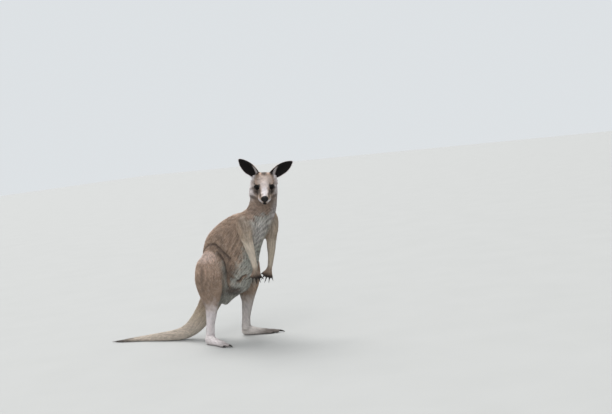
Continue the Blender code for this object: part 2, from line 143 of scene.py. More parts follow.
def tree_of(mesh):
    return BVHTree.FromPolygons(
        [vert.co for vert in mesh.vertices], [face.vertices for face in mesh.polygons]
    )


def fused_flesh():
    """All the flesh as one closed mesh of even faces."""
    whole = bmesh.new()
    for name in FLESH:
        solid = bmesh.new()
        solid.from_mesh(nodes[name].data)
        bmesh.ops.remove_doubles(solid, verts=solid.verts, dist=1e-5)
        solid.normal_update()
        swollen = [vert.co + vert.normal * SWELL for vert in solid.verts]
        for vert, place in zip(solid.verts, swollen):
            vert.co = place
        copy = mesh_of(solid, name)
        whole.from_mesh(copy)
        bpy.data.meshes.remove(copy)
    plug = Matrix.Translation(ARMPIT[:3])
    bmesh.ops.create_icosphere(whole, subdivisions=2, radius=ARMPIT[3], matrix=plug)
    return with_modifier(mesh_of(whole, "flesh"), "REMESH", mode="VOXEL", voxel_size=SKIN_MESH)


def near_any(points, centres):
    """1 inside the balls, given as x, y, z and reach, fading to 0 at their edge."""
    found = np.zeros(len(points))
    for x, y, z, reach in centres:
        distance = np.linalg.norm(points - (x, y, z), axis=1)
        found = np.maximum(found, 1 - ease(0.6 * reach, reach, distance))
    return found


def gaps_between(points, targets):
    """Distance from each point to the nearest target."""
    tree = KDTree(len(targets))
    for index, target in enumerate(targets):
        tree.insert(target, index)
    tree.balance()
    return np.array([tree.find(point)[2] for point in points])


def cut_rims():
    """The corners of the solids that lie on a cut, close to the next solid."""
    trees = {name: tree_of(nodes[name].data) for name in FLESH}
    rims = []
    for name in FLESH:
        others = [tree for other, tree in trees.items() if other != name]
        for vert in nodes[name].data.vertices:
            if any(tree.find_nearest(vert.co, CUT_GAP)[0] for tree in others):
                rims.append(vert.co)
    return rims


skin = fused_flesh()
web = web_of(skin)
points = spread(web, places(skin), FAIRING)
joints = near_any(points, SHOULDERS + HIPS)[:, None]
points = spread(web, points, JOINT_FAIRING, RUB * joints)
on_cut = 1 - ease(0.5 * CUT_REACH, CUT_REACH, gaps_between(points, cut_rims()))
points = spread(web, points, CUT_FAIRING, RUB * on_cut[:, None])
put_places(skin, points)


# Head and its finer mesh --------------------------------------------------------------------------
# Lids, nostrils and mouth need finer faces than the body, so the head's front is divided once, and
# the places round eyes, nose and mouth once more.
HEAD_TURN, HEAD_DIP, HEAD_TILT = 54.9, 26.8, 6.3  # degrees to the right, downwards, left side lower
SIGN = {"left": 1, "right": -1}  # the sign of x on each side


def middle(name):
    low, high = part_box(name)
    return (low + high) / 2


def head_axes():
    """The head's left, back and up as rows."""
    turn, dip, tilt = (math.radians(angle) for angle in (HEAD_TURN, HEAD_DIP, HEAD_TILT))
    ahead = Vector((-math.sin(turn) * math.cos(dip), -math.cos(turn) * math.cos(dip), -math.sin(dip)))
    left = Vector((math.cos(turn), -math.sin(turn), -math.tan(tilt)))
    left = (left - left.dot(ahead) * ahead).normalized()
    return np.array((left, -ahead, ahead.cross(left)))


HEAD_AXES = head_axes()
EYE_CENTRES = {side: middle(f"eye_{side}") for side in SIGN}
BETWEEN_EYES = np.array((EYE_CENTRES["left"] + EYE_CENTRES["right"]) / 2)
# In the head's frame, from the point between the eyes: x to the left, y back, z up.
NOSE_Y, MOUTH_Z, MOUTH_CORNER_Y = -0.117, -0.0405, -0.029
EYE_X = 0.036  # both sides
HEAD_REACH = 0.16  # the head ends within this of the point between the eyes
FACE = ((0, 0.062), (-0.15, 0.022), (-0.075, 0.045))  # from and to, for sideways, back and up
NOSE_TIP = ((0, 0.030), (-0.15, -0.088), (-0.05, 0.045))
EYE_REACH, LIP_REACH = 0.030, 0.007  # round an eye and the mouth's line, where faces are finest
EAR_START = (0.032, 0.055, 0.020)  # the ears are beyond this, sideways, back and up
FACE_FAIRING = 6


def in_head(points):
    return (points - BETWEEN_EYES) @ HEAD_AXES.T


def divide(mesh, chosen):
    """Divides the faces whose corners are all chosen into four."""
    form = bmesh.new()
    form.from_mesh(mesh)
    form.verts.ensure_lookup_table()
    faces = [face for face in form.faces if all(chosen[vert.index] for vert in face.verts)]
    edges = list({edge for face in faces for edge in face.edges})
    bmesh.ops.subdivide_edges(form, edges=edges, cuts=1, use_grid_fill=True)
    form.to_mesh(mesh)
    form.free()
    mesh.update()


def mouth_height(y):
    """The line of the mouth rises a little to its corner and sinks a little below the nose."""
    return MOUTH_Z + 0.002 * ease(-0.060, MOUTH_CORNER_Y, y) - 0.003 * ease(-0.075, -0.098, y)


def folded(at):
    """Places in the head's frame with the right side laid over the left."""
    return np.column_stack([np.abs(at[:, 0]), at[:, 1:]])


def in_box(side, box):
    low, high = np.array(box).T
    return ((side > low) & (side < high)).all(axis=1)


def face_front(at):
    return in_box(folded(at), FACE)


def face_features(at):
    side = folded(at)
    eye_gap = np.linalg.norm(side - (EYE_X, 0, 0), axis=1)
    mouth = (np.abs(at[:, 2] - mouth_height(at[:, 1])) < LIP_REACH) & (at[:, 1] < MOUTH_CORNER_Y + 0.011)
    return face_front(at) & ((eye_gap < EYE_REACH) | in_box(side, NOSE_TIP) | mouth)


def ears_of(at):
    return (folded(at) > EAR_START).all(axis=1)


at = in_head(places(skin))
divide(skin, face_front(at) | ears_of(at))
divide(skin, face_features(in_head(places(skin))))
web = web_of(skin)
points = places(skin)
points = spread(web, points, FACE_FAIRING, RUB * face_front(in_head(points))[:, None])
put_places(skin, points)


# Depth of the coat --------------------------------------------------------------------------------
# The solids stand for the coat's tips, so the skin sinks below them by the coat's depth. The values
# are set for each part of the body and run into each other over a few centimetres.
COAT = {  # depth, length of the locks and space between them
    "head": (0.0026, 0.0095, 0.0016),
    "lower_jaw": (0.0016, 0.0060, 0.0017),
    "nose_pad": (0.0004, 0.0030, 0.0018),
    "neck": (0.0055, 0.0165, 0.0024),
    "chest": (0.0065, 0.0185, 0.0025),
    "abdomen": (0.0065, 0.0185, 0.0025),
    "upper_arm": (0.0050, 0.0150, 0.0026),
    "forearm": (0.0028, 0.0110, 0.0021),
    "hand": (0.0016, 0.0068, 0.0018),
    "thigh": (0.0062, 0.0175, 0.0025),
    "shank": (0.0030, 0.0110, 0.0023),
    "foot": (0.0016, 0.0060, 0.0019),
    "tail_root": (0.0055, 0.0155, 0.0025),
    "tail_middle": (0.0042, 0.0135, 0.0026),
    "tail_end": (0.0030, 0.0120, 0.0023),
    "ear": (0.0005, 0.0042, 0.0016),
}
NEXT = {  # the hair of each part points to the middle of the next
    "neck": "chest",
    "chest": "abdomen",
    "abdomen": "tail_root",
    "tail_root": "tail_middle",
    "tail_middle": "tail_end",
    "upper_arm": "forearm",
    "forearm": "hand",
    "thigh": "shank",
    "shank": "foot",
}
EAR_BASE = 0.12  # share of an ear's corners, nearest to the eyes, that make its base
EAR_HOLLOW = (0.30, -1.0, 0.15)  # where the left ear's hollow faces, in the head's frame
LEAF_START, LEAF_WIDTH = 0.22, 0.06  # where the leaf shape begins, and its reach from the middle line
EDGE_LINES = 48  # straight lines that bound an ear's leaf shape


def kind_of(name):
    return name.removesuffix("_left").removesuffix("_right")


def nearest(tree, points):
    """The nearest places on the surface, and the faces they are on."""
    found = [tree.find_nearest(Vector(point)) for point in points]
    return np.array([hit[0] for hit in found]), np.array([hit[2] for hit in found])


def owners(points):
    """The index in FLESH of the solid nearest to each point."""
    corners, faces, owner = [], [], []
    for index, name in enumerate(FLESH):
        mesh = nodes[name].data
        first = len(corners)
        corners += [vert.co for vert in mesh.vertices]
        faces += [[first + corner for corner in face.vertices] for face in mesh.polygons]
        owner += [index] * len(mesh.polygons)
    _, face = nearest(BVHTree.FromPolygons(corners, faces), points)
    return np.array(owner)[face]


def ear_axes(side):
    """Base, direction to the tip, direction of the hollow and length of an ear."""
    corners = places(nodes[f"ear_{side}"].data)
    reach = np.linalg.norm(corners - BETWEEN_EYES, axis=1)
    tip = corners[reach.argmax()]
    base = corners[reach < np.quantile(reach, EAR_BASE)].mean(axis=0)
    along = unit(tip - base)
    facing = np.array(EAR_HOLLOW) * (SIGN[side], 1, 1) @ HEAD_AXES
    return base, along, unit(facing - facing @ along * along), np.linalg.norm(tip - base)


def ear_plane(side):
    """Directions across the ear's leaf shape, and how far its skin reaches in each."""
    base, along, facing, length = EARS[side]
    across = np.cross(along, facing)
    turns = np.linspace(0, 2 * math.pi, EDGE_LINES, endpoint=False)[:, None]
    ways = np.cos(turns) * along + np.sin(turns) * across
    from_base = places(skin) - base
    height = from_base @ along
    beside = np.linalg.norm(from_base - height[:, None] * along, axis=1)
    leaf = from_base[(height > LEAF_START * length) & (beside < LEAF_WIDTH)]
    return ways, (leaf @ ways.T).max(axis=0)


EARS = {side: ear_axes(side) for side in SIGN}
EAR_PLANES = {side: ear_plane(side) for side in SIGN}


def in_ear(points, side):
    """Height up the ear from 0 to 1, distance to its edge, and to its edge beside the head."""
    base, along, facing, length = EARS[side]
    ways, reach = EAR_PLANES[side]
    gaps = reach - (points - base) @ ways.T
    upper = ways @ along > -0.25
    beside_head = upper & (ways @ HEAD_AXES[0] * -SIGN[side] > 0.35)
    return (points - base) @ along / length, gaps[:, upper].min(axis=1), gaps[:, beside_head].min(axis=1)


def lie_of(name):
    """The direction in which the hair of a solid points."""
    kind = kind_of(name)
    side = name.removeprefix(kind)
    if kind == "ear":
        return EARS[side[1:]][1]
    if kind in ("head", "lower_jaw", "nose_pad"):
        return np.array((0.0, 1.0, -0.12)) @ HEAD_AXES
    if kind == "foot":
        ahead = middle(name) - middle("shank" + side)
        return np.array((ahead.x, ahead.y, 0.0))
    if kind == "hand":
        return np.array(middle(name) - middle("forearm" + side))
    if kind == "tail_end":
        return np.array(middle(name) - middle("tail_middle"))
    follower = NEXT[kind] + (side if kind not in ("neck", "chest", "abdomen") else "")
    return np.array(middle(follower) - middle(name))


# A light copy of the skin carries what varies slowly, and the unwrap for the coat's map.
HULL_SHARE = 0.045  # of the skin's faces
DEPTH_BLENDING, LIE_BLENDING = 8, 45  # how often the hull's values are averaged
hull = with_modifier(skin, "DECIMATE", ratio=HULL_SHARE, use_collapse_triangulate=True)
hull_web = web_of(hull)
hull_points = places(hull)
hull_owner = owners(hull_points)
hull_coat = np.array([COAT[kind_of(name)] for name in FLESH])[hull_owner]
hull_coat = spread(hull_web, hull_coat, DEPTH_BLENDING)
hull_lie = unit(np.array([lie_of(name) for name in FLESH]))[hull_owner]
on_ear = np.array([kind_of(name) == "ear" for name in FLESH])[hull_owner]
hull_lie = unit(spread(hull_web, hull_lie, LIE_BLENDING, np.where(on_ear, 0.0, RUB)[:, None]))
hull_tree = tree_of(hull)
hull_corners = np.array([face.vertices for face in hull.polygons])


def shares(triangles, points):
    """Barycentric weights of points in their triangles."""
    a, b, c = triangles[:, 0], triangles[:, 1], triangles[:, 2]
    ab, ac, ap = b - a, c - a, points - a
    bb, bc, cc = ((u * v).sum(1) for u, v in ((ab, ab), (ab, ac), (ac, ac)))
    pb, pc = (ap * ab).sum(1), (ap * ac).sum(1)
    area = np.maximum(bb * cc - bc * bc, 1e-20)
    beta, gamma = (cc * pb - bc * pc) / area, (bb * pc - bc * pb) / area
    return np.stack([1 - beta - gamma, beta, gamma], axis=1)[:, :, None]


def from_hull(points, values):
    """Values of the hull's points carried over to points close to it."""
    place, face = nearest(hull_tree, points)
    corners = hull_corners[face]
    weights = shares(hull_points[corners], place)
    return (values[corners] * weights).sum(axis=1)


skin_coat = from_hull(points, np.hstack([hull_coat, hull_lie]))
skin_lie = unit(skin_coat[:, 3:])
skin_coat = skin_coat[:, :3]
at = in_head(points)
# The coat is thinnest on the face, and most of all on the muzzle.
is_head = np.linalg.norm(at, axis=1) < HEAD_REACH
on_face = ease(0.045, -0.045, at[:, 1]) * is_head
muzzle = ease(-0.040, -0.100, at[:, 1]) * is_head
skin_coat *= (1 - 0.35 * on_face - 0.25 * muzzle)[:, None]
surface = points
points = points - outward(skin) * skin_coat[:, :1]


# Folds --------------------------------------------------------------------------------------------
# Loose skin folds where the thigh meets the flank, and the pouch lies on the belly as a rounded bag
# with a slit for a mouth. A fold is a route of a few points, pressed into the skin.
def mirrored(route, ahead):
    """A route of the right side for the left one, which stands further ahead."""
    return tuple((-x, y - ahead, z) for x, y, z in route)


HIP_CREASE = (
    (-0.086, -0.075, 0.515),
    (-0.100, -0.109, 0.541),
    (-0.108, -0.147, 0.555),
    (-0.116, -0.183, 0.555),
    (-0.123, -0.215, 0.536),
    (-0.126, -0.242, 0.514),
    (-0.125, -0.265, 0.491),
    (-0.120, -0.286, 0.469),
)
THIGH_EDGE = (
    (-0.127, -0.206, 0.508),
    (-0.127, -0.232, 0.477),
    (-0.122, -0.242, 0.440),
    (-0.114, -0.237, 0.395),
    (-0.108, -0.226, 0.340),
    (-0.100, -0.210, 0.300),
)
HAUNCH = (
    (-0.176, -0.132, 0.448),
    (-0.186, -0.124, 0.412),
    (-0.188, -0.117, 0.358),
    (-0.178, -0.110, 0.301),
)
POUCH_MOUTH = (
    (-0.080, -0.282, 0.342),
    (-0.072, -0.296, 0.340),
    (-0.079, -0.312, 0.358),
    (-0.076, -0.328, 0.368),
    (-0.066, -0.341, 0.372),
)
POUCH_FOLD = (
    (-0.088, -0.212, 0.308),
    (-0.078, -0.230, 0.288),
    (-0.072, -0.255, 0.284),
    (-0.060, -0.282, 0.292),
)
FOLDS = (  # route, depth, half width, and how dark the painted shade in it is
    (HIP_CREASE, 0.0110, 0.0090, 0.80),
    (mirrored(HIP_CREASE, 0.065), 0.0080, 0.0100, 0.60),
    (THIGH_EDGE, 0.0150, 0.0110, 0.75),
    (mirrored(THIGH_EDGE, 0.070), 0.0110, 0.0110, 0.60),
    (POUCH_MOUTH, 0.0140, 0.0060, 0.95),
    (POUCH_FOLD, 0.0130, 0.0080, 0.75),
    (HAUNCH, 0.0040, 0.0110, 0.35),
)


def distance_to(route, points):
    """Distance of each point to a route of straight stretches."""
    least = np.full(len(points), np.inf)
    for start, finish in zip(np.array(route), np.array(route[1:])):
        along = finish - start
        t = np.clip((points - start) @ along / (along @ along), 0, 1)
        gap = np.linalg.norm(points - start - t[:, None] * along, axis=1)
        least = np.minimum(least, gap)
    return least


fold_shapes = [np.exp(-((distance_to(route, surface) / width) ** 2)) for route, _, width, _ in FOLDS]
sunk = sum(depth * shape for (_, depth, _, _), shape in zip(FOLDS, fold_shapes))
points = points - outward(skin) * sunk[:, None]
points = spread(web, points, 3, 0.5 * (sunk > 0.001)[:, None])
put_places(skin, points)


# Fingers and toes ---------------------------------------------------------------------------------
# Rubbing wears the slim fingers away, so they go back out to their solids, less the coat's depth.
# Each finger and toe runs out to its claw, and the skin closes over the claw's root.
FINGER_REACH, OVER_CLAW = 0.011, 0.0025
KNUCKLES = (-0.004, 0.008)  # from and to where the skin goes back out, along the hand
HAND_MARGIN = 0.004  # round the box of a hand's solid
BETWEEN_HANDS = -0.06  # x midway from one hand to the other
CLAWS = sorted(name for name in nodes if "claw" in name)


def hand_reach(points):
    """How far each point is beyond the middle of its hand, towards the fingers."""
    reach = np.zeros(len(points))
    for side, sign in SIGN.items():
        own = (points[:, 0] - BETWEEN_HANDS) * sign > 0
        reach[own] = (points[own] - np.array(middle(f"hand_{side}"))) @ unit(lie_of(f"hand_{side}"))
    return reach


def finger_share(side):
    """Which of the skin's points are about a hand, and their shares, from 0 to 1 past the knuckles."""
    low, high = (np.array(corner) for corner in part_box(f"hand_{side}"))
    near = ((points > low - HAND_MARGIN) & (points < high + HAND_MARGIN)).all(axis=1)
    return near, ease(*KNUCKLES, hand_reach(points[near]))


for side in SIGN:
    near, share = finger_share(side)
    hand = nodes[f"hand_{side}"].data
    place, face = nearest(tree_of(hand), points[near])
    face_out = rows_of(hand.polygons, "normal", 3)[face]
    points[near] += (place - face_out * COAT["hand"][0] - points[near]) * share[:, None]
is_finger = np.zeros(len(points))
for side in SIGN:
    near, share = finger_share(side)
    is_finger[near] = share
points = spread(web, points, 2, 0.35 * is_finger[:, None])
for name in CLAWS:
    claw_corners = places(nodes[name].data)
    owner_middle = np.array(middle(name.split("_claw")[0]))
    ordered = claw_corners[np.argsort(np.linalg.norm(claw_corners - owner_middle, axis=1))]
    claw_root, claw_tip = ordered[:6].mean(axis=0), ordered[-1]
    gap = np.linalg.norm(points - claw_root, axis=1)
    finger_end = points[gap.argmin()]
    pull = claw_root - finger_end + unit(claw_tip - claw_root) * OVER_CLAW
    points += pull * (1 - ease(0.1 * FINGER_REACH, FINGER_REACH, gap - gap.min()))[:, None]
put_places(skin, points)


# Eyelids ------------------------------------------------------------------------------------------
# Each eye lies in an almond of two lids, the upper one heavier. Their rims are bare and black, and
# rest on the ball.
BALL = 0.0145  # radius
ALMOND = (0.0125, 0.0088)  # half length and half height of the opening
ALMOND_TAPER, ALMOND_DROP = 0.24, 0.0006  # narrower towards its corners, and below the ball's middle
UPPER_LID, LOWER_LID = 0.0022, 0.0015  # height on the ball
BEHIND_RIM = 0.0030  # depth of the skin inside the opening
EYE_BACK = -0.004  # the lids and the black round them end here, inwards from the ball's middle
LID_CREASE, CREASE_AT, CREASE_WIDTH = 0.0010, 1.9, 0.18  # depth, place and half width, in almonds
EYE_OUT = (0.68, -0.73, 0.08)  # where the left eye looks, in the head's frame
EYE_ALONG = (0.0, 0.96, -0.15)  # from its inner to its outer corner


def eye_axes(side):
    """Along the opening to its outer corner, up and outwards, as rows in the body's frame."""
    out = unit(np.array(EYE_OUT) * (SIGN[side], 1, 1))
    along = np.array(EYE_ALONG)
    along = unit(along - along @ out * out)
    up = np.cross(along, out) * -SIGN[side]
    return np.array((along, up, out)) @ HEAD_AXES


EYE_AXES = {side: eye_axes(side) for side in EYE_CENTRES}


def in_eye(points, side):
    """Places in an eye's own frame, and their distance from its middle as a share of the almond."""
    own = (points - np.array(EYE_CENTRES[side])) @ EYE_AXES[side].T
    height = ALMOND[1] * (1 - ALMOND_TAPER * np.clip(own[:, 0] / ALMOND[0], -1.4, 1.4) ** 2)
    share = np.hypot(own[:, 0] / ALMOND[0], (own[:, 1] + ALMOND_DROP) / height)
    behind = (own[:, 2] < EYE_BACK) & (np.linalg.norm(own, axis=1) > 1.30 * BALL)
    share[behind] = 9.0  # far from any lid
    return own, share


def almond_share(points):
    """The smaller of both eyes' shares: 1 on the rim of the lids."""
    return np.minimum(in_eye(points, "left")[1], in_eye(points, "right")[1])


for side in EYE_CENTRES:
    own, share = in_eye(points, side)
    chosen = np.flatnonzero(share < 2.9)
    own, share = own[chosen], share[chosen]
    out_here = np.minimum(np.hypot(own[:, 0], own[:, 1]), 0.93 * BALL)
    on_ball = np.sqrt(BALL**2 - out_here**2)
    lid = np.where(own[:, 1] > 0, UPPER_LID, LOWER_LID)
    crease = LID_CREASE * np.exp(-(((share - CREASE_AT) / CREASE_WIDTH) ** 2)) * (own[:, 1] > 0)
    lid_height = on_ball + lid * ease(0.90, 1.15, share) - crease
    height = np.where(share < 0.94, on_ball - BEHIND_RIM, lid_height)
    keep = ease(1.5, 2.8, share)
    own[:, 2] = height * (1 - keep) + own[:, 2] * keep
    points[chosen] = own @ EYE_AXES[side] + np.array(EYE_CENTRES[side])
put_places(skin, points)
share = almond_share(points)
points = spread(web, points, 3, (0.5 * ((share > 1.15) & (share < 3.2)))[:, None])


# Nose and mouth -----------------------------------------------------------------------------------
# The bare nose has two comma-shaped nostrils and a groove down to the lip. The mouth is closed: its
# line runs from below the nose back to the corner, and turns up a little.
NOSTRIL = (0.0098, -0.0105)  # sideways and up from the point between the eyes
NOSTRIL_SIZE = (0.0040, 0.0027)
NOSTRIL_DEPTH, GROOVE_DEPTH, LIP_DEPTH = 0.0065, 0.0012, 0.0024
GROOVE_WIDTH, LIP_WIDTH = 0.0011, 0.0014  # half widths
at = in_head(points)
side_gap = np.abs(at[:, 0]) - NOSTRIL[0]
rise = at[:, 2] - NOSTRIL[1] - 0.35 * side_gap
nostril = np.hypot(side_gap / NOSTRIL_SIZE[0], rise / NOSTRIL_SIZE[1])
nostril = (1 - ease(0.45, 1.10, nostril)) * (at[:, 1] < NOSE_Y + 0.022)
groove = np.exp(-((at[:, 0] / GROOVE_WIDTH) ** 2)) * (at[:, 1] < -0.070)
groove *= ease(-0.043, -0.036, at[:, 2]) * ease(-0.012, -0.020, at[:, 2])
lips = np.exp(-(((at[:, 2] - mouth_height(at[:, 1])) / LIP_WIDTH) ** 2))
lips *= ease(MOUTH_CORNER_Y, MOUTH_CORNER_Y - 0.012, at[:, 1]) * is_head
lips *= 0.30 + 0.70 * np.exp(-((at[:, 0] / 0.014) ** 2))  # deepest below the nose
points = points + HEAD_AXES[1] * (NOSTRIL_DEPTH * nostril)[:, None]
points = points - outward(skin) * (GROOVE_DEPTH * groove + LIP_DEPTH * lips)[:, None]
put_places(skin, points)


# Markings -----------------------------------------------------------------------------------------
# Grey-brown above, pale grey below, cream forearms, whitish shanks and feet, dark hands, toes and
# tail tip. Skin and coat both read these masks, as shares from 0 to 1.
TINTS = ("pale", "cream", "white", "dark", "black", "warm", "mottle", "bare")
PARTS = {
    "head": ("head", "lower_jaw", "nose_pad"),
    "neck": ("neck",),
    "trunk": ("chest", "abdomen"),
    "upper_arm": ("upper_arm",),
    "forearm": ("forearm",),
    "hand": ("hand",),
    "thigh": ("thigh",),
    "shank": ("shank",),
    "foot": ("foot",),
    "tail": ("tail_root", "tail_middle", "tail_end"),
    "ear": ("ear",),
}
PART_BLENDING = 10  # how often the parts' borders are averaged
WAVES, WAVES_TOGETHER = 14, 4.5  # crossing waves, and how high they reach together
SPINE_TURN = ((0.50, 3), (0.61, 16), (0.68, 34), (0.73, 48), (0.86, 54))  # height, degrees to the right
STREAKS = ((0.36, 0.012, 0.014), (0.14, 0.028, 0.030), (0.55, 0.007, 0.007))  # strength, width, reach
STREAKED = {  # how strongly the streaks show on each part
    "trunk": 1.0,
    "neck": 1.0,
    "thigh": 1.0,
    "upper_arm": 0.9,
    "head": 0.4,
    "tail": 0.6,
    "forearm": 0.35,
    "shank": 0.35,
    "foot": 0.35,
    "hand": 0.6,
}
# Where colours change, from and to.
BELLY_WIDENS, BELLY_WIDEST = (0.62, 0.36), (0.42, 0.30)  # heights
CREAM_ARM, WARM_THIGH, SOCKS = (0.70, 0.60), (0.34, 0.46), (0.275, 0.155)
CREAM_TAIL, WHITE_TAIL = (0.30, 0.10), (0.20, 0.06)
DARK_TOES = (0.100, 0.200)  # ahead of the heel
DARK_TAIL = (0.44, 0.60)  # y
DARK_FINGERS, BLACK_FINGERS = (-0.012, 0.014), (0.008, 0.024)  # beyond the middle of the hand
# Soft marks, each with its centre, reach along the three axes and strength.
# The neck's side is pale, and whiter still as a painted rim light.
NECK_SIDE_AND_RIM_LIGHT = ((-0.001, -0.529, 0.715), (0.032, 0.040, 0.075), 1.00)
CHEST = ((-0.049, -0.463, 0.609), (0.050, 0.060, 0.120), 0.40)
# The hip's crest is tan, and lighter as a painted highlight where light falls on the thigh's top.
HIP_CREST = ((-0.138, -0.130, 0.490), (0.045, 0.060, 0.030), 1.00)
# Painted shade on the belly, in the pouch's hollow and beside the thigh's edge.
BELLY_SHADOWS = (
    ((-0.062, -0.240, 0.285), (0.040, 0.050, 0.040), 0.75),
    ((-0.105, -0.262, 0.400), (0.030, 0.034, 0.070), 0.40),
)
THROAT = (BETWEEN_EYES + np.array((0.0, -0.020, -0.108)) @ HEAD_AXES, (0.070, 0.060, 0.056), 1.00)
# Marks of the head, in its own frame, for both sides at once.
FACE_DARK = (
    ((0.035, -0.015, -0.023), (0.020, 0.025, 0.017), 1.00),  # below the eye
    ((0.048, 0.006, -0.014), (0.012, 0.014, 0.009), 0.75),  # behind it
    ((0.0265, -0.048, -0.002), (0.0090, 0.026, 0.0130), 0.90),  # from the eye's inner corner down
    ((0.0215, -0.082, -0.003), (0.0045, 0.028, 0.010), 0.82),  # beside the bridge
    ((0.050, -0.018, -0.054), (0.022, 0.034, 0.009), 0.75),  # painted shade under the jaw, against the throat
    ((0.000, -0.094, -0.047), (0.010, 0.024, 0.009), 0.95),  # painted shade on the chin, below the mouth
    ((0.026, -0.028, -0.068), (0.030, 0.050, 0.018), 0.62),  # below the jaws
    ((0.000, 0.050, 0.052), (0.014, 0.022, 0.018), 0.92),  # middle of the crown
    ((0.034, 0.064, 0.036), (0.007, 0.012, 0.014), 0.85),  # painted shadow beside the ear, at its inner base
)
FACE_WHITE = (
    ((0.000, -0.070, 0.010), (0.0180, 0.050, 0.018), 0.95),  # bridge of the muzzle
    ((0.000, -0.024, 0.026), (0.0240, 0.036, 0.020), 0.60),  # between the eyes
    ((0.000, 0.005, 0.034), (0.044, 0.038, 0.024), 0.36),  # forehead
    ((0.0250, -0.097, -0.029), (0.0140, 0.018, 0.0105), 1.00),  # upper lip
    ((0.030, -0.075, -0.019), (0.006, 0.020, 0.006), 0.45),  # streak above the lip
    ((0.064, 0.020, -0.034), (0.026, 0.050, 0.042), 0.82),  # cheek
    ((0.060, 0.030, -0.072), (0.024, 0.045, 0.030), 0.65),  # corner of the jaw
    ((0.0190, -0.092, -0.044), (0.0100, 0.017, 0.009), 0.85),  # beside the chin
    ((0.062, 0.058, 0.014), (0.020, 0.024, 0.026), 1.25),  # outer base of the ear
)
FACE_WARM = (
    ((0.020, 0.060, 0.048), (0.010, 0.016, 0.013), 0.95),  # blond tufts on the crown
    ((0.045, 0.014, 0.021), (0.013, 0.011, 0.006), 0.85),  # brow
    ((0.000, -0.098, 0.003), (0.013, 0.010, 0.008), 0.35),  # above the nose
)
EYE_CORNERS = (
    ((0.0285, -0.019, 0.012), (0.0080, 0.013, 0.0095), 1.00),  # black from the inner corner
    ((0.0520, 0.014, 0.0070), (0.0090, 0.010, 0.0040), 0.60),  # above the outer one
)
NOSE_LEATHER = ((0.0, -0.119, -0.010), (0.0240, 0.0245, 0.0200))  # centre and reach
EYE_PATCH = ((-0.003, 0.0025), (0.0178, 0.0132))  # the same, along and up from the eye's middle
RIM_BAND = 0.0042  # width of the pale hair along the ear's edge
# Routes of the grey hair low in the ear beside the head, in the head's frame.
EAR_BANDS = {
    "left": (
        (0.049, 0.083, 0.028),
        (0.053, 0.084, 0.040),
        (0.060, 0.082, 0.061),
        (0.073, 0.079, 0.079),
    ),
    "right": (
        (-0.039, 0.079, 0.042),
        (-0.043, 0.081, 0.055),
        (-0.049, 0.079, 0.070),
        (-0.061, 0.077, 0.088),
    ),
}


def part_shares():
    """1 on the hull's points that belong to each part, softened at their borders."""
    belongs = [[kind_of(name) in kinds for kinds in PARTS.values()] for name in FLESH]
    return spread(hull_web, np.array(belongs, float)[hull_owner], PART_BLENDING)


def waves(points, size, seed):
    """Smooth chance values between -1 and 1 that change over about size metres."""
    dice = np.random.default_rng(seed)
    total = np.zeros(len(points))
    for _ in range(WAVES):
        way = unit(dice.normal(size=3)) * (2 * math.pi / size) * dice.uniform(0.6, 1.5)
        total += np.sin(points @ way + dice.uniform(0, 2 * math.pi))
    return np.clip(total / WAVES_TOGETHER, -1, 1)


def streaks(points, lie, size, reach, seed):
    """Smooth chance values between -1 and 1, drawn out along the lie of the coat."""
    shifts = np.linspace(-reach, reach, 7)
    drawn = np.mean([waves(points + lie * shift, size, seed) for shift in shifts], axis=0)
    return np.clip(drawn / (1.3 * drawn.std()), -1, 1)


def back_of(points, lie):
    """The direction of the animal's back: across both its left side and the lie of the coat."""
    heights, degrees = zip(*SPINE_TURN)
    turn = np.radians(np.interp(points[:, 2], heights, degrees))
    left = np.stack([np.cos(turn), -np.sin(turn), np.zeros(len(turn))], axis=1)
    return unit(np.cross(left, lie))


def ball_mask(points, centre, sizes, soft=0.35):
    """1 inside an ellipsoid, fading out across its edge."""
    gap = np.linalg.norm((points - centre) / sizes, axis=1)
    return 1 - ease(1 - soft, 1 + soft, gap)


def mark(points, placed, soft=0.55):
    centre, sizes, strength = placed
    return ball_mask(points, centre, sizes, soft) * strength


def strongest(*shares_here):
    return np.maximum.reduce(shares_here)


def marks(points, several):
    return strongest(*[mark(points, placed) for placed in several])


def eye_surround(points):
    """1 on the black hair round each eye, which reaches furthest above it and towards the nose.
    Above the eye it is partly painted shade under the brow.
    """
    found = np.zeros(len(points))
    for side in EYE_CENTRES:
        own, _ = in_eye(points, side)
        gap = np.linalg.norm((own[:, :2] - EYE_PATCH[0]) / EYE_PATCH[1], axis=1)
        found = np.maximum(found, (1 - ease(0.85, 1.12, gap)) * (own[:, 2] > EYE_BACK))
    return found


def face_masks(tint, points, at, on_head):
    """The marks of the head: at is in the head's frame."""
    at = at + waves(points, 0.018, 3)[:, None] * 0.0012
    side = folded(at)
    share = almond_share(points)
    dark = marks(side, FACE_DARK)
    tint["dark"] = strongest(tint["dark"], dark * on_head)
    tint["white"] = strongest(tint["white"], marks(side, FACE_WHITE) * on_head * (1 - 0.8 * dark))
    tint["warm"] = strongest(tint["warm"], marks(side, FACE_WARM) * on_head)
    nose = ball_mask(side, *NOSE_LEATHER, 0.12)
    rim = strongest(marks(side, EYE_CORNERS) * on_head, 1 - ease(1.35, 1.75, share), eye_surround(points))
    lip_line = np.exp(-(((at[:, 2] - mouth_height(at[:, 1])) / 0.0022) ** 2))
    lip_line *= ease(-0.075, -0.095, at[:, 1]) * ease(0.022, 0.012, side[:, 0]) * on_head
    groove = (1 - ease(0.0045, 0.0085, side[:, 0])) * ease(-0.085, -0.095, at[:, 1])
    groove *= ease(-0.015, -0.020, at[:, 2]) * on_head
    tint["black"] = strongest(tint["black"], nose, rim, lip_line * 0.8, groove * 0.8)
    tint["bare"] = strongest(tint["bare"], nose, 1 - ease(1.15, 1.4, share))


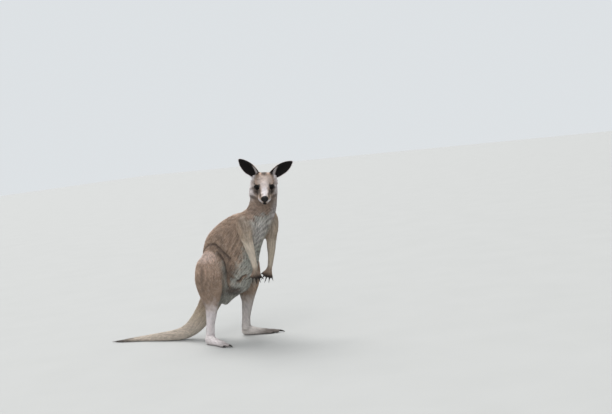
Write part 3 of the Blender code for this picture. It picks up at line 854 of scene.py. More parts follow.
def ear_masks(tint, points, out, on_ear):
    """Painted shade in the hollow, black; brown outside, a pale edge, a grey band by the head."""
    is_left = (points - BETWEEN_EYES) @ HEAD_AXES[0] > 0
    for side, own in (("left", is_left), ("right", ~is_left)):
        height, edge, inner = in_ear(points, side)
        here = on_ear * own
        # The ear's hollow is painted black, as painted shade.
        inside = ease(0.10, 0.35, out @ EARS[side][2]) * here
        rim = 1 - ease(0.4 * RIM_BAND, 1.3 * RIM_BAND, edge)
        band = 1 - ease(0.0040, 0.0130, distance_to(EAR_BANDS[side], in_head(points)))
        band *= ease(0.50, 0.26, height)
        fringe = (1 - ease(0.003, 0.006, inner)) * ease(0.60, 0.30, height)
        pale = np.maximum(rim, 0.85 * band * inside) * here
        tint["black"] = strongest(tint["black"], inside * (1 - pale))
        tint["bare"] = strongest(tint["bare"], inside * (1 - pale))
        tint["white"] = strongest(tint["white"], pale * (1 - 0.6 * fringe))
        tint["warm"] = strongest(tint["warm"], (0.2 * (1 - inside) + 0.6 * fringe) * here)
        tint["dark"] = strongest(tint["dark"], 0.60 * (1 - inside) * (1 - pale) * (1 - fringe) * here)


def heel_reach(points):
    """How far each point is ahead of the back of its heel, along the floor."""
    reach = np.zeros(len(points))
    for side, sign in SIGN.items():
        own = points[:, 0] * sign > 0
        reach[own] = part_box(f"foot_{side}")[1].y - points[own, 1]
    return reach


def masks(points, out, lie, parts):
    """All tints at points with these outward directions, lie of the coat and shares of the parts."""
    part = dict(zip(PARTS, parts.T))
    tint = {name: np.zeros(len(points)) for name in TINTS}
    x, y, z = points.T
    is_left = x > 0
    blur = 0.10 * waves(points, 0.045, 1) + 0.06 * waves(points, 0.016, 2)
    streak = sum(
        strength * streaks(points, lie, width, reach, seed)
        for seed, (strength, width, reach) in enumerate(STREAKS, 4)
    )
    streak = np.clip(streak, -1, 1)
    under = -(out * back_of(points, lie)).sum(axis=1) + blur

    # Trunk and neck: warm along the back, and pale below, the more so towards the legs.
    trunk = part["trunk"] + part["neck"]
    hips = part["trunk"] + part["thigh"]
    low, lowest = ease(*BELLY_WIDENS, z), ease(*BELLY_WIDEST, z)
    pale_from = 0.62 - 0.34 * low - 0.20 * lowest
    pale_to = 0.92 - 0.25 * low - 0.20 * lowest
    tint["pale"] += trunk * ease(pale_from, pale_to, under)
    # The neck's side is painted white, partly as painted rim light.
    tint["white"] += mark(points, NECK_SIDE_AND_RIM_LIGHT, 0.5) * part["neck"] + mark(points, CHEST, 0.6)
    tint["warm"] += hips * 0.70 * ease(0.25, 0.85, -under) + part["neck"] * 0.30
    throat = mark(points, THROAT, 0.85) * (part["neck"] + part["head"])
    throat *= 0.50 + 0.14 * streak + 0.20 * waves(points, 0.008, 8)

    # Arms: cream forearms, the left one greyer, and dark hands with black fingers.
    left_arm = x > BETWEEN_HANDS
    tint["pale"] += part["upper_arm"] * 0.25 * ease(0.1, 0.8, under)
    tint["cream"] += part["upper_arm"] * 0.15 * ease(*CREAM_ARM, z)
    tint["pale"] += part["forearm"] * np.where(left_arm, 0.50, 0.0)
    tint["cream"] += part["forearm"] * np.where(left_arm, 0.25, 0.9)
    tint["white"] += part["forearm"] * np.where(left_arm, 0.0, 0.35)
    on_hand = ease(0.2, 0.7, part["hand"])
    fingers = (0.40 + 0.60 * ease(*DARK_FINGERS, hand_reach(points))) * on_hand
    tint["black"] += 0.6 * ease(*BLACK_FINGERS, hand_reach(points)) * on_hand

    # Legs: a tan crest over the hip, made lighter as a painted highlight on the thigh's top, pale
    # inside the thigh, whitish from the shank down to the toes.
    crest_and_highlight = hips * mark(points, HIP_CREST, 0.6)
    tint["white"] += crest_and_highlight * 0.30
    tint["warm"] += crest_and_highlight + part["thigh"] * 0.45 * ease(*WARM_THIGH, z)
    tint["pale"] += part["thigh"] * ease(0.15, 0.75, blur - out[:, 0] * np.sign(x))
    shank_low = part["shank"] * ease(*SOCKS, z + 0.15 * blur)
    # The left leg stands in the body's shadow: its shank and foot are painted greyer and less white, and
    # its toes darker, as painted shade.
    tint["pale"] += 0.6 * (part["foot"] + shank_low) * is_left
    tint["white"] += shank_low * np.where(is_left, 0.62, 1.0) + part["foot"] * np.where(is_left, 0.42, 0.85)
    toes = ease(*DARK_TOES, heel_reach(points) + 0.04 * blur + 0.035 * is_left) * part["foot"]
    toes *= np.where(is_left, 0.80, 0.52)
    sole = ease(0.004, 0.001, z) * ease(-0.5, -0.9, out[:, 2]) * part["foot"]

    # Tail: pale below, cream near the floor, with a dark end.
    tint["pale"] += part["tail"] * 0.6 * ease(0.2, 0.9, blur - out[:, 2])
    tint["cream"] += part["tail"] * 0.65 * ease(*CREAM_TAIL, z)
    tint["white"] += part["tail"] * 0.35 * ease(*WHITE_TAIL, z)
    tail_tip = part["tail"] * ease(*DARK_TAIL, y + 0.1 * blur)

    # Painted shade: darker hair in the folds, low on the belly and round the pouch, where shade falls.
    fold_shade = strongest(*[shade * shape for (_, _, _, shade), shape in zip(FOLDS, fold_shapes)])
    belly_shade = strongest(0.16 * trunk * lowest, marks(points, BELLY_SHADOWS))
    tint["dark"] += strongest(toes, tail_tip, fingers, throat, fold_shade, belly_shade)
    ear_masks(tint, points, out, ease(0.3, 0.7, part["ear"]))
    face_masks(tint, points, in_head(points), ease(0.3, 0.7, part["head"]))
    strength = sum(part[name] * share for name, share in STREAKED.items())
    # The right shank's hair is painted lighter than the left's, as painted light.
    tint["mottle"] = 0.5 + 0.5 * np.clip(strength, 0, 1) * streak - 0.15 * shank_low * ~is_left
    tint["bare"] = strongest(tint["bare"], sole)
    tint["dark"] = strongest(tint["dark"], sole)
    tint["black"] = 1 - (1 - np.clip(tint["black"], 0, 1)) ** 2
    return np.clip(np.stack([tint[name] for name in TINTS], axis=1), 0, 1)


skin_parts = from_hull(points, part_shares())
skin_tints = masks(points, outward(skin), skin_lie, skin_parts)


# Coat colours -------------------------------------------------------------------------------------
# Every hair is dark at its root, with the body's own colour over most of its length. Some tips are
# silver and some nearly black, which gives the coat its grizzled look.
COLOURS = {
    "pale": (0.46, 0.47, 0.43),
    "cream": (0.70, 0.61, 0.45),
    "white": (0.67, 0.63, 0.64),
    "warm": (0.66, 0.48, 0.38),
    "dark": (0.060, 0.045, 0.038),
    "black": (0.006, 0.005, 0.005),
}
MAIN, ROOT, SILVER = (0.470, 0.340, 0.255), (0.170, 0.122, 0.092), (0.78, 0.67, 0.60)
MAIN_PATCHES, MAIN_DARK = 22, 0.62  # the main colour varies so often in a metre, and down to this
LIGHT_STREAK, DARK_STREAK = (1.60, 1.56, 1.53), (0.34, 0.31, 0.29)  # times the colour
SILVER_FROM, SOOTY_TO = 0.74, 0.22  # tones of the locks that have such tips
TIP_STRENGTH = 0.55
ROOT_END, ROOT_STRENGTH = 0.55, 0.95  # how far up the lock its dark root shows
COAT_SHINE, COAT_SHEEN, SHEEN_ROUGHNESS = 0.15, 0.05, 0.45


def link(tree, start, finish):
    tree.links.new(start, finish)


def blend_of(tree, share, first, second, way="MIX"):
    """A colour mix: share, first and second are sockets or plain values."""
    mix = tree.nodes.new("ShaderNodeMix")
    mix.data_type = "RGBA"
    mix.blend_type = way
    # Of the Mix node's inputs, 0 is the share, and 6 and 7 are the colours.
    for socket, value in ((mix.inputs[0], share), (mix.inputs[6], first), (mix.inputs[7], second)):
        if isinstance(value, bpy.types.NodeSocket):
            link(tree, value, socket)
        elif isinstance(value, tuple):
            socket.default_value = (*value, 1)
        else:
            socket.default_value = value
    return mix.outputs[2]


def result_of(tree, kind, *values):
    """A Math node's result from sockets or plain numbers."""
    node = tree.nodes.new("ShaderNodeMath")
    node.operation = kind
    node.use_clamp = kind != "SUBTRACT"
    for socket, value in zip(node.inputs, values):
        if isinstance(value, bpy.types.NodeSocket):
            link(tree, value, socket)
        else:
            socket.default_value = value
    return node.outputs[0]


def product_of(tree, *values):
    return result_of(tree, "MULTIPLY", *values)


def split_of(tree, colour):
    """The three numbers of a colour."""
    split = tree.nodes.new("ShaderNodeSeparateColor")
    link(tree, colour, split.inputs[0])
    return list(split.outputs)


def noise_of(tree, scale, detail=2.0):
    spot = tree.nodes.new("ShaderNodeTexCoord")
    noise = tree.nodes.new("ShaderNodeTexNoise")
    noise.inputs["Scale"].default_value = scale
    noise.inputs["Detail"].default_value = detail
    link(tree, spot.outputs["Object"], noise.inputs["Vector"])
    return noise.outputs["Fac"]


def coat_colour_group():
    """Puts out the coat's colour. Tone tells one lock from the next, Along runs from root to tip."""
    tree = bpy.data.node_groups.new("coat colour", "ShaderNodeTree")
    for name in ("Pale Cream White", "Dark Black Warm"):
        tree.interface.new_socket(name, in_out="INPUT", socket_type="NodeSocketColor")
    for name in ("Mottle", "Tone", "Along"):
        tree.interface.new_socket(name, in_out="INPUT", socket_type="NodeSocketFloat")
    tree.interface.new_socket("Colour", in_out="OUTPUT", socket_type="NodeSocketColor")
    given = tree.nodes.new("NodeGroupInput").outputs
    pale, cream, white = split_of(tree, given["Pale Cream White"])
    dark, black, warm = split_of(tree, given["Dark Black Warm"])
    colour = blend_of(tree, noise_of(tree, MAIN_PATCHES), MAIN, tuple(MAIN_DARK * part for part in MAIN))
    for mask, name in ((warm, "warm"), (pale, "pale"), (cream, "cream"), (white, "white")):
        colour = blend_of(tree, mask, colour, COLOURS[name])
    # Streaks of lighter and darker hair.
    patches = tree.nodes.new("ShaderNodeValToRGB")
    patches.color_ramp.elements[0].color = (*LIGHT_STREAK, 1)
    patches.color_ramp.elements[1].color = (*DARK_STREAK, 1)
    patches.color_ramp.elements.new(0.5).color = (1, 1, 1, 1)
    link(tree, given["Mottle"], patches.inputs[0])
    colour = blend_of(tree, 1.0, colour, patches.outputs[0], "MULTIPLY")
    # Silver and sooty tips, then the dark roots. White hair has hardly any of the dark ones.
    silver = product_of(tree, result_of(tree, "GREATER_THAN", given["Tone"], SILVER_FROM), given["Along"])
    colour = blend_of(tree, product_of(tree, silver, TIP_STRENGTH), colour, SILVER)
    sooty = product_of(tree, result_of(tree, "LESS_THAN", given["Tone"], SOOTY_TO), given["Along"])
    off_white = result_of(tree, "SUBTRACT", 1.0, product_of(tree, white, 0.9))
    sooty = product_of(tree, product_of(tree, sooty, TIP_STRENGTH), off_white)
    colour = blend_of(tree, sooty, colour, ROOT)
    root = product_of(tree, result_of(tree, "SUBTRACT", ROOT_END, given["Along"]), ROOT_STRENGTH)
    colour = blend_of(tree, product_of(tree, root, off_white), colour, ROOT)
    colour = blend_of(tree, dark, colour, COLOURS["dark"])
    colour = blend_of(tree, black, colour, COLOURS["black"])
    link(tree, colour, tree.nodes.new("NodeGroupOutput").inputs[0])
    return tree


COAT_COLOUR = coat_colour_group()


def attribute(tree, name):
    node = tree.nodes.new("ShaderNodeAttribute")
    node.attribute_name = name
    return node.outputs


def new_material(name, roughness, shine=0.5):
    """A material, its node tree and its shader."""
    material = bpy.data.materials.new(name)
    material.use_nodes = True
    shader = material.node_tree.nodes["Principled BSDF"]
    shader.inputs["Roughness"].default_value = roughness
    shader.inputs["Specular IOR Level"].default_value = shine
    return material, material.node_tree, shader


def coat_material(name, roughness):
    """A material, its node tree and the inputs of its coat colour, with Tone and Along still open."""
    material, tree, shader = new_material(name, roughness, COAT_SHINE)
    group = tree.nodes.new("ShaderNodeGroup")
    group.node_tree = COAT_COLOUR
    link(tree, attribute(tree, "tints_a")["Color"], group.inputs["Pale Cream White"])
    link(tree, attribute(tree, "tints_b")["Color"], group.inputs["Dark Black Warm"])
    link(tree, attribute(tree, "tints_a")["Alpha"], group.inputs["Mottle"])
    link(tree, group.outputs[0], shader.inputs["Base Color"])
    shader.inputs["Sheen Weight"].default_value = COAT_SHEEN
    shader.inputs["Sheen Roughness"].default_value = SHEEN_ROUGHNESS
    return material, tree, group.inputs


def put_values(mesh, name, values):
    """Stores four numbers for each point of the mesh."""
    store = mesh.color_attributes.new(name, "FLOAT_COLOR", "POINT")
    store.data.foreach_set("color", np.ascontiguousarray(values, np.float32).ravel())


def put_tints(mesh, tints):
    """The masks in the order that the coat's materials read them."""
    pale, cream, white, dark, black, warm, mottle, bare = tints.T
    put_values(mesh, "tints_a", np.stack([pale, cream, white, mottle], axis=1))
    put_values(mesh, "tints_b", np.stack([dark, black, warm, bare], axis=1))


# Skin ---------------------------------------------------------------------------------------------
# The finished hide: short flat underfur between the locks, shown as a fine bump, and pebbled black
# leather on the nose.
UNDERFUR_GRAIN, UNDERFUR_DEPTH = 600, 0.0012  # grains in a metre, and height of the relief
UNDERFUR_TONES, UNDERFUR_ALONG = 420, 0.45  # tones in a metre, and the hair's middle is what shows
PEBBLES, PEBBLE_DEPTH = 900, 0.0004
LEATHER_COLOURS = (0.006, 0.005, 0.005), (0.016, 0.014, 0.013)


def piece(name, mesh, *materials):
    obj = bpy.data.objects.new(name, mesh)
    bpy.context.scene.collection.objects.link(obj)
    mesh.materials.clear()
    for material in materials:
        mesh.materials.append(material)
    return obj


def add_bump(material, height, depth):
    """Relief on the surface of a material, depth metres high."""
    tree = material.node_tree
    bump = tree.nodes.new("ShaderNodeBump")
    bump.inputs["Distance"].default_value = depth
    bump.inputs["Strength"].default_value = 0.7
    link(tree, height, bump.inputs["Height"])
    link(tree, bump.outputs[0], tree.nodes["Principled BSDF"].inputs["Normal"])


hide, hide_tree, hide_colour = coat_material("hide", 0.85)
link(hide_tree, noise_of(hide_tree, UNDERFUR_TONES), hide_colour["Tone"])
hide_colour["Along"].default_value = UNDERFUR_ALONG
add_bump(hide, noise_of(hide_tree, UNDERFUR_GRAIN, 4), UNDERFUR_DEPTH)

leather, leather_tree, leather_shader = new_material("nose leather", 0.45, 0.18)
pebbles = leather_tree.nodes.new("ShaderNodeTexVoronoi")
pebbles.inputs["Scale"].default_value = PEBBLES
leather_spot = leather_tree.nodes.new("ShaderNodeTexCoord")
link(leather_tree, leather_spot.outputs["Object"], pebbles.inputs["Vector"])
add_bump(leather, pebbles.outputs["Distance"], PEBBLE_DEPTH)
leather_colour = blend_of(leather_tree, pebbles.outputs["Distance"], *LEATHER_COLOURS)
link(leather_tree, leather_colour, leather_shader.inputs["Base Color"])

put_tints(skin, skin_tints)
skin_object = piece("skin", skin, hide, leather)
at = in_head(points)
on_nose = ball_mask(at, *NOSE_LEATHER, 0.05) > 0.5
for face in skin.polygons:
    face.use_smooth = True
    face.material_index = int(on_nose[face.vertices[0]])
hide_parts(*FLESH)
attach(skin_object, "root")


# Coat ---------------------------------------------------------------------------------------------
# The fur lies in pointed three-sided locks, rooted in the skin and laid along the body, each longer
# than the gap to the next, so that they cover each other like thatch.
LOCKS_IN_A_PIECE = 19000
SHORT_HAIR = 0.0125  # locks below this length are straight
PATCH = 0.003  # width of a lock on the coat's map
TRIES = 3.2  # chance places for each root that there is room for
ROOM = 1.18  # one root is kept in each cube this wide, in spacings
SPACING_STEP, LEAST_SPACING = 0.12, 0.002  # the cubes' widths go up in steps of about an eighth
EAR_TUFT = ((0.060, 0.058, 0.010), (0.020, 0.024, 0.028), 1.2)
RUFF = ((0.066, 0.024, -0.030), (0.024, 0.044, 0.040), 0.9)  # shaggy hair on the right cheek
LEFT_RUFF = 0.15  # the left cheek lies flat
SHAG_LENGTH, SHAG_DEPTH = 0.6, 0.0075
NEAR_EYE, SHORTER_THERE = (1.3, 3.2), 0.65  # as shares of the almond, and how much shorter
THIN_COAT = (0.25, 0.8)  # a place this bare may have no lock
LID_RIM = 1.12  # share of the almond inside which no lock grows
SWAY, STRAY = 0.24, 0.12  # how far neighbours lean together, and each lock alone
LENGTHS, LIFTS, WIDTHS = (0.70, 1.15), (0.55, 1.05), (0.7, 1.2)  # least and most, of the usual
HALF_WAY = 0.85  # lift and width at a lock's middle
GAP = 0.45  # a step that lands this share of itself off the skin has crossed a gap
LOCK_WIDTH, LEAST_WIDTH = 0.105, 0.0005  # a share of the length, and what each has at least
ROOT_DEPTH = 0.0008  # below the skin
RIDGE = 0.30  # height of a lock's ridge over its width
FLOOR_GAP = 0.0003


def root_places():
    """Chance places on the skin, evenly spread and closer where the coat is shorter."""
    skin.calc_loop_triangles()
    corners = rows_of(skin.loop_triangles, "vertices", 3, np.int32)
    a, b, c = (points[corners[:, i]] for i in range(3))
    area = np.linalg.norm(np.cross(b - a, c - a), axis=1) / 2
    spacing = skin_coat[corners, 2].mean(axis=1)
    wanted = np.cumsum(TRIES * area / spacing**2)
    triangle = np.searchsorted(wanted, chance.uniform(0, wanted[-1], int(wanted[-1])))
    first, second = np.sqrt(chance.uniform(size=len(triangle))), chance.uniform(size=len(triangle))
    weights = np.stack([1 - first, first * (1 - second), first * second], axis=1)
    corners = corners[triangle]
    places_here = (points[corners] * weights[:, :, None]).sum(axis=1)
    level = np.round(np.log(spacing[triangle] / LEAST_SPACING) / SPACING_STEP)
    cell = LEAST_SPACING * np.exp(level * SPACING_STEP) * ROOM
    keys = np.column_stack([level, np.floor(places_here / cell[:, None])]).astype(np.int64)
    _, keep = np.unique(keys, axis=0, return_index=True)
    return corners[keep], weights[keep][:, :, None]


def from_skin(values, corners, weights):
    return (values[corners] * weights).sum(axis=1)


def flat_along(vectors, out):
    """The share of vectors that runs along the surface, at full length."""
    return unit(vectors - (vectors * out).sum(axis=1, keepdims=True) * out)


corners, weights = root_places()
roots = from_skin(points, corners, weights)
root_out = unit(from_skin(outward(skin), corners, weights))
root_lie = from_skin(skin_lie, corners, weights)
root_tints = from_skin(skin_tints, corners, weights)
root_coat = from_skin(skin_coat, corners, weights)
# Near the eyes the hair is short and points away from them.
near_eye = 1 - ease(*NEAR_EYE, almond_share(roots))
root_coat[:, 1] *= 1 - SHORTER_THERE * near_eye
for centre in EYE_CENTRES.values():
    from_eye = roots - np.array(centre)
    own = near_eye * (np.linalg.norm(from_eye, axis=1) < 0.06)
    root_lie = root_lie * (1 - own)[:, None] + unit(from_eye) * own[:, None]
# No locks grow on leather or the lids' rims, and few beside them.
keep = root_tints[:, TINTS.index("bare")] < chance.uniform(*THIN_COAT, len(roots))
keep &= almond_share(roots) > LID_RIM
corners, weights, roots, root_out, root_lie, root_tints, root_coat = (
    values[keep] for values in (corners, weights, roots, root_out, root_lie, root_tints, root_coat)
)
count = len(roots)
root_at = in_head(roots)
ear_tuft = mark(folded(root_at), EAR_TUFT, 0.35)
ruff = mark(folded(root_at), RUFF, 0.35) * np.where(root_at[:, 0] > 0, LEFT_RUFF, 1)
shag = (strongest(ear_tuft, ruff) * (1 - root_tints[:, TINTS.index("black")]))[:, None]
root_coat[:, 1:2] *= 1 + SHAG_LENGTH * shag
root_coat[:, :1] += SHAG_DEPTH * shag
sway = SWAY * np.stack([waves(roots, 0.035, 20 + i) for i in range(3)], axis=1)
sway += STRAY * chance.normal(size=(count, 3))
length = root_coat[:, 1:2] * chance.uniform(*LENGTHS, (count, 1))
lift = root_coat[:, :1] * (0.80 + 0.25 * waves(roots, 0.020, 31))[:, None]
lift = lift * chance.uniform(*LIFTS, (count, 1))


# Each lock follows the skin through a middle point and a tip point above it.
skin_tree = tree_of(skin)
skin_face_out = rows_of(skin.polygons, "normal", 3)


def follow(start, out, way, step):
    """A step along the skin: the place on it, its outward direction and the way onwards."""
    aim = start + flat_along(way, out) * step
    place, face = nearest(skin_tree, aim)
    far = np.linalg.norm(place - aim, axis=1, keepdims=True) > GAP * step
    place = np.where(far, aim, place)
    out_there = np.where(far, out, skin_face_out[face])
    return place, out_there, flat_along(way, out_there)


def ring(centre, out, way, width):
    """Left edge, ridge and right edge of a lock."""
    side = np.cross(flat_along(way, out), out) * width / 2
    return np.stack([centre - side, centre + out * width * RIDGE, centre + side], axis=1)


way = root_lie + sway
half, half_out, half_way = follow(roots, root_out, way, 0.5 * length)
end, end_out, _ = follow(half, half_out, half_way, 0.5 * length)
start_line = roots - root_out * ROOT_DEPTH
half_line = half + half_out * lift * HALF_WAY
end_line = end + end_out * lift
root_width = (LOCK_WIDTH * length + LEAST_WIDTH) * chance.uniform(*WIDTHS, (count, 1))
lock_points = np.concatenate([
    ring(start_line, root_out, way, root_width),
    ring(half_line, half_out, half_way, root_width * HALF_WAY),
    end_line[:, None, :],
], axis=1)
lock_points[:, :, 2] = np.maximum(lock_points[:, :, 2], FLOOR_GAP)
short = root_coat[:, 1] < SHORT_HAIR


class Shape:
    """A kind of lock: which of the seven points it uses, its faces, each point's place on the lock's
    patch of the map and its way along the lock."""

    def __init__(self, used, faces, on_map, along):
        self.used, self.faces = used, np.array(faces)
        self.on_map, self.along = np.array(on_map) * PATCH, np.array(along)


BENT = Shape(
    [0, 1, 2, 3, 4, 5, 6],
    [
        (0, 2, 1), (0, 1, 4), (0, 4, 3), (1, 2, 5), (1, 5, 4),
        (2, 0, 3), (2, 3, 5), (3, 4, 6), (4, 5, 6), (5, 3, 6),
    ],
    [(0, 0), (0.5, 0), (1, 0), (0, 0.5), (0.5, 0.5), (1, 0.5), (0.5, 1)],
    [0, 0, 0, 0.5, 0.5, 0.5, 1],
)
STRAIGHT = Shape(
    [0, 1, 2, 6],
    [(0, 2, 1), (0, 1, 3), (1, 2, 3), (2, 0, 3)],
    [(0, 0), (0.5, 0), (1, 0), (0.5, 1)],
    [0.15, 0.15, 0.15, 1],
)

# The unwrap of the skin's light copy says where each root lies on the coat's map.
unwrapped = bpy.data.objects.new("unwrapped", hull)
bpy.context.scene.collection.objects.link(unwrapped)
bpy.context.view_layer.objects.active = unwrapped
unwrapped.select_set(True)
bpy.ops.object.mode_set(mode="EDIT")
bpy.ops.mesh.select_all(action="SELECT")
bpy.ops.uv.smart_project(angle_limit=math.radians(66), island_margin=0.003)
bpy.ops.object.mode_set(mode="OBJECT")
hull_map = rows_of(hull.uv_layers.active.data, "uv", 2).reshape(-1, 3, 2)
bpy.data.objects.remove(unwrapped)
root_place, root_face = nearest(hull_tree, roots)
root_weights = shares(hull_points[hull_corners[root_face]], root_place)
root_map = (hull_map[root_face] * root_weights).sum(axis=1)

fur, fur_tree, fur_colour = coat_material("fur", 0.70)
fur_tone, fur_along, _ = split_of(fur_tree, attribute(fur_tree, "lock")["Color"])
link(fur_tree, fur_tone, fur_colour["Tone"])
link(fur_tree, fur_along, fur_colour["Along"])
root_tone = 0.65 * chance.uniform(size=count) + 0.35 * (0.5 + 0.5 * waves(roots, 0.012, 40))


def coat_piece(name, chosen):
    """The chosen locks as one mesh, each a patch on the coat's map at its root's place."""
    made = []
    first = 0
    for kind, own in ((BENT, chosen[~short[chosen]]), (STRAIGHT, chosen[short[chosen]])):
        size = len(kind.used)
        firsts = first + size * np.arange(len(own))[:, None, None]
        values = np.zeros((len(own), size, 4))
        values[:, :, 0] = root_tone[own][:, None]
        values[:, :, 1] = kind.along
        made.append((
            lock_points[own][:, kind.used].reshape(-1, 3),
            (kind.faces[None] + firsts).reshape(-1, 3),
            (root_map[own][:, None, :] + kind.on_map[None]).reshape(-1, 2),
            np.repeat(root_tints[own], size, axis=0),
            values.reshape(-1, 4),
        ))
        first += size * len(own)
    corners_of, faces_of, spots, tints, lock = map(np.concatenate, zip(*made))
    mesh = bpy.data.meshes.new(name)
    mesh.vertices.add(len(corners_of))
    mesh.vertices.foreach_set("co", corners_of.ravel())
    mesh.loops.add(faces_of.size)
    mesh.loops.foreach_set("vertex_index", faces_of.ravel())
    mesh.polygons.add(len(faces_of))
    mesh.polygons.foreach_set("loop_start", np.arange(0, faces_of.size, 3))
    mesh.update(calc_edges=True)
    mesh.polygons.foreach_set("use_smooth", np.ones(len(faces_of), bool))
    layer = mesh.uv_layers.new(name="OFBake")
    layer.data.foreach_set("uv", spots[faces_of.ravel()].ravel())
    put_tints(mesh, tints)
    put_values(mesh, "lock", lock)
    obj = piece(name, mesh, fur)
    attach(obj, "root")


# Parts of the coat, each cut at as many heights as its share of locks asks for.
COAT_PIECES = {
    "head": ("head", "lower_jaw", "nose_pad"),
    "ears": ("ear",),
    "neck": ("neck",),
    "chest": ("chest",),
    "abdomen": ("abdomen",),
    "arms": ("upper_arm", "forearm", "hand"),
    "thighs": ("thigh",),
    "feet": ("shank", "foot"),
    "tail": ("tail_root", "tail_middle", "tail_end"),
}
root_owner = hull_owner[hull_corners[root_face][:, 0]]
for area, kinds in COAT_PIECES.items():
    owned = [index for index, name in enumerate(FLESH) if kind_of(name) in kinds]
    chosen = np.flatnonzero(np.isin(root_owner, owned))
    chosen = chosen[np.argsort(roots[chosen, 2], kind="stable")]
    for number, share in enumerate(np.array_split(chosen, -(-len(chosen) // LOCKS_IN_A_PIECE))):
        coat_piece(f"coat_{area}_{number + 1}", share)


# Eyes ---------------------------------------------------------------------------------------------
# A dark brown ball with a clear, slightly domed front. The iris is nearly as dark as the pupil, and
# the wet surface gives the only light in it.
PUPIL, IRIS = 0.0052, 0.0088  # radii on the ball
CORNEA_RISE = 0.0007
BALL_SHARE = 0.985  # the ball lies this little inside the lids
IRIS_COLOURS = (0.003, 0.0016, 0.001), (0.007, 0.0035, 0.002)
ROUND_IRIS, IN_PUPIL = (0.006, 0.004, 0.004), (0.003, 0.003, 0.003)

eye_wet, eye_tree, eye_shader = new_material("eye", 0.35, 0.05)
in_iris, in_pupil, _ = split_of(eye_tree, attribute(eye_tree, "iris")["Color"])
iris_colour = blend_of(eye_tree, noise_of(eye_tree, 700, 3), *IRIS_COLOURS)
eye_colour = blend_of(eye_tree, in_iris, ROUND_IRIS, iris_colour)
eye_colour = blend_of(eye_tree, in_pupil, eye_colour, IN_PUPIL)
link(eye_tree, eye_colour, eye_shader.inputs["Base Color"])
eye_shader.inputs["Coat Weight"].default_value = 0.12
eye_shader.inputs["Coat Roughness"].default_value = 0.05

for side, centre in EYE_CENTRES.items():
    form = bmesh.new()
    bmesh.ops.create_uvsphere(form, u_segments=48, v_segments=32, radius=BALL * BALL_SHARE)
    ball = mesh_of(form, f"eyeball_{side}")
    own = places(ball)
    out_here = np.hypot(own[:, 0], own[:, 1])
    facing = own[:, 2] > 0
    own[:, 2] += CORNEA_RISE * (1 - ease(0.3 * IRIS, 1.2 * IRIS, out_here)) * facing
    iris = (1 - ease(0.92 * IRIS, 1.05 * IRIS, out_here)) * facing
    pupil = (1 - ease(0.9 * PUPIL, 1.05 * PUPIL, out_here)) * facing
    put_places(ball, own @ EYE_AXES[side] + np.array(centre))
    put_values(ball, "iris", np.stack([iris, pupil, 0 * iris, 1 + 0 * iris], axis=1))
    ball.shade_smooth()
    eyeball = piece(f"eyeball_{side}", ball, eye_wet)
    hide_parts(f"eye_{side}")
    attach(eyeball, "root")


# Lashes and whiskers ------------------------------------------------------------------------------
# Long dark lashes stand on the upper lids and a few on the lower ones. Whiskers grow from the upper
# lips, thin and swept back.
LASH_LENGTH, LASH_WIDTH = 0.0085, 0.00045
LASH_ABOVE = 0.0012  # roots above the ball
# Number, first and last place in degrees round the opening, share of the length, and way up or down.
UPPER_LASHES, LOWER_LASHES = (16, 160, 20, 1.0, 1), (6, 205, 325, 0.45, -1)
LASH_ROW = (1.08, 1.12)  # along and up, as shares of the almond
LASH_CURVE = ((1, 0, 0), (1.12, 0.10, 0.50), (1.25, 0.45, 0.85))  # wider, up and out, point by point
WHISKER_ROWS, WHISKERS_IN_A_ROW, WHISKER_WIDTH = 3, 5, 0.00045
WHISKER_START = (0.028, -0.100, -0.020)  # the first on the left, in the head's frame
WHISKER_STEP, ROW_STEP = 0.008, 0.006  # backwards, and down
WHISKER_LENGTHS, WHISKER_SAG = (0.018, 0.030), 0.25


def bristle(form, route, width):
    """A three-sided hair along a few points, running out to a tip."""
    rings = []
    for index, spot in enumerate(route[:-1]):
        ahead = (route[index + 1] - spot).normalized()
        side = ahead.orthogonal().normalized()
        other = ahead.cross(side)
        reach = width / 2 * (1 - index / len(route))
        corners_here = []
        for third in range(3):
            turn = 2 * math.pi * third / 3
            offset = side * math.cos(turn) + other * math.sin(turn)
            corners_here.append(form.verts.new(spot + offset * reach))
        rings.append(corners_here)
    for first, second in zip(rings, rings[1:]):
        for k in range(3):
            form.faces.new((first[k - 1], first[k], second[k], second[k - 1]))
    tip = form.verts.new(route[-1])
    for k in range(3):
        form.faces.new((rings[-1][k - 1], rings[-1][k], tip))
    form.faces.new(rings[0][::-1])


def hair_material(name, colour):
    material, tree, shader = new_material(name, 0.45)
    darker = tuple(0.6 * part for part in colour)
    link(tree, blend_of(tree, noise_of(tree, 500), colour, darker), shader.inputs["Base Color"])
    return material


def bristles(name, routes, width, material):
    form = bmesh.new()
    for route in routes:
        bristle(form, route, width)
    mesh = mesh_of(form, name)
    mesh.shade_smooth()
    obj = piece(name, mesh, material)
    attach(obj, "root")


lash_routes = []
for side, centre in EYE_CENTRES.items():
    axes = Matrix(EYE_AXES[side].T.tolist())
    for number, first, last, size, rise in (UPPER_LASHES, LOWER_LASHES):
        for turn in np.radians(np.linspace(first, last, number)):
            u = ALMOND[0] * LASH_ROW[0] * math.cos(turn)
            v = ALMOND[1] * LASH_ROW[1] * math.sin(turn)
            w = math.sqrt(BALL**2 - u * u - v * v) + LASH_ABOVE
            long = LASH_LENGTH * size * chance.uniform(0.8, 1.1)
            lash_routes.append([
                centre + axes @ Vector((u * wide, v + rise * up * long, w + out * long))
                for wide, up, out in LASH_CURVE
            ])
bristles("lashes", lash_routes, LASH_WIDTH, hair_material("lash", (0.012, 0.010, 0.009)))

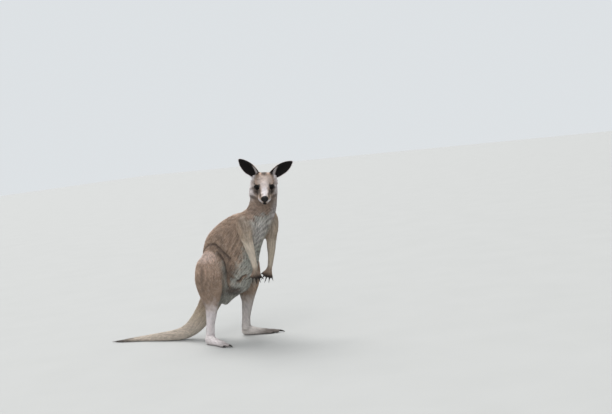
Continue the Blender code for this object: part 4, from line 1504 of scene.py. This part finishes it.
whisker_routes = []
head_turn = Matrix(HEAD_AXES.T.tolist())
for sign in SIGN.values():
    for row in range(WHISKER_ROWS):
        for index in range(WHISKERS_IN_A_ROW):
            x, y, z = WHISKER_START
            spot = Vector((sign * x, y + WHISKER_STEP * index, z - ROW_STEP * row))
            out = Vector((sign * 1.0, 0.55 + 0.15 * index, -0.10 - 0.25 * row)).normalized()
            place = skin_tree.find_nearest(Vector(BETWEEN_EYES) + head_turn @ spot)[0]
            reach = chance.uniform(*WHISKER_LENGTHS)
            way_out = head_turn @ out
            sag = Vector((0, 0, -WHISKER_SAG * reach))
            whisker_routes.append([
                place,
                place + way_out * reach * 0.5,
                place + way_out * reach + sag,
            ])
bristles("whiskers", whisker_routes, WHISKER_WIDTH, hair_material("whisker", (0.06, 0.05, 0.045)))


# Claws --------------------------------------------------------------------------------------------
# Curved black horn with a faint grain, smooth and a little shiny. The claws of the hind feet are the
# heaviest.
HORN_COLOURS = (0.007, 0.006, 0.006), (0.026, 0.021, 0.018)
HORN_RELIEF = 0.0003

horn, horn_tree, horn_shader = new_material("horn", 0.38, 0.25)
horn_grain = noise_of(horn_tree, 260, 4)
link(horn_tree, blend_of(horn_tree, horn_grain, *HORN_COLOURS), horn_shader.inputs["Base Color"])
add_bump(horn, horn_grain, HORN_RELIEF)
for name in CLAWS:
    form = bmesh.new()
    form.from_mesh(nodes[name].data)
    bmesh.ops.remove_doubles(form, verts=form.verts, dist=1e-5)
    rounded = with_modifier(mesh_of(form, name + "_horn"), "SUBSURF", levels=2, render_levels=2)
    rounded.shade_smooth()
    claw = piece(name + "_horn", rounded, horn)
    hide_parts(name)
    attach(claw, "root")


# Setting ------------------------------------------------------------------------------------------
# A pale floor under soft light from an overcast sky, brighter from behind. The camera stands ahead
# and to the animal's right, at a person's height.
FLOOR_COLOURS = (0.36, 0.36, 0.35), (0.385, 0.385, 0.375)
SKY_COLOUR, SKY_STRENGTH = (0.93, 0.97, 1.0), 0.78
CAMERA_PLACE = Vector((-4.2550, -3.8272, 1.0868))
CAMERA_AIM = Vector((-0.2197, -0.8966, 0.7306))
CAMERA_ROLL = 6.54  # the ground rises ahead of the animal, and the floor here is level
LENS, SENSOR = 60, 36  # millimetres

form = bmesh.new()
bmesh.ops.create_grid(form, x_segments=1, y_segments=1, size=30)
floor_paint, floor_tree, floor_shader = new_material("floor paint", 0.8)
floor_colour = blend_of(floor_tree, noise_of(floor_tree, 3), *FLOOR_COLOURS)
link(floor_tree, floor_colour, floor_shader.inputs["Base Color"])
floor = piece("floor", mesh_of(form, "floor"), floor_paint)

sky = bpy.data.worlds.new("sky")
sky.use_nodes = True
background = sky.node_tree.nodes["Background"]
background.inputs["Color"].default_value = (*SKY_COLOUR, 1)
background.inputs["Strength"].default_value = SKY_STRENGTH
bpy.context.scene.world = sky


def soft_sun(name, source, width, strength):
    """Even light from a wide patch of sky in the direction of source."""
    light = bpy.data.lights.new(name, "SUN")
    light.angle = math.radians(width)
    light.energy = strength
    obj = bpy.data.objects.new(name, light)
    obj.rotation_euler = Vector(source).to_track_quat("Z", "Y").to_euler()
    bpy.context.scene.collection.objects.link(obj)


soft_sun("sky overhead", (0.25, 0.50, 1.0), 40, 2.6)
soft_sun("sky in front", (-1.0, -0.6, 0.9), 50, 1.5)
bpy.context.scene.view_settings.view_transform = "Standard"

camera_data = bpy.data.cameras.new("camera")
camera_data.lens = LENS
camera_data.sensor_width = SENSOR
camera = bpy.data.objects.new("camera", camera_data)
turn = (CAMERA_AIM - CAMERA_PLACE).to_track_quat("-Z", "Y").to_matrix().to_4x4()
camera.matrix_world = (
    Matrix.Translation(CAMERA_PLACE) @ turn @ Matrix.Rotation(math.radians(-CAMERA_ROLL), 4, "Z")
)
bpy.context.scene.collection.objects.link(camera)
bpy.context.scene.camera = camera
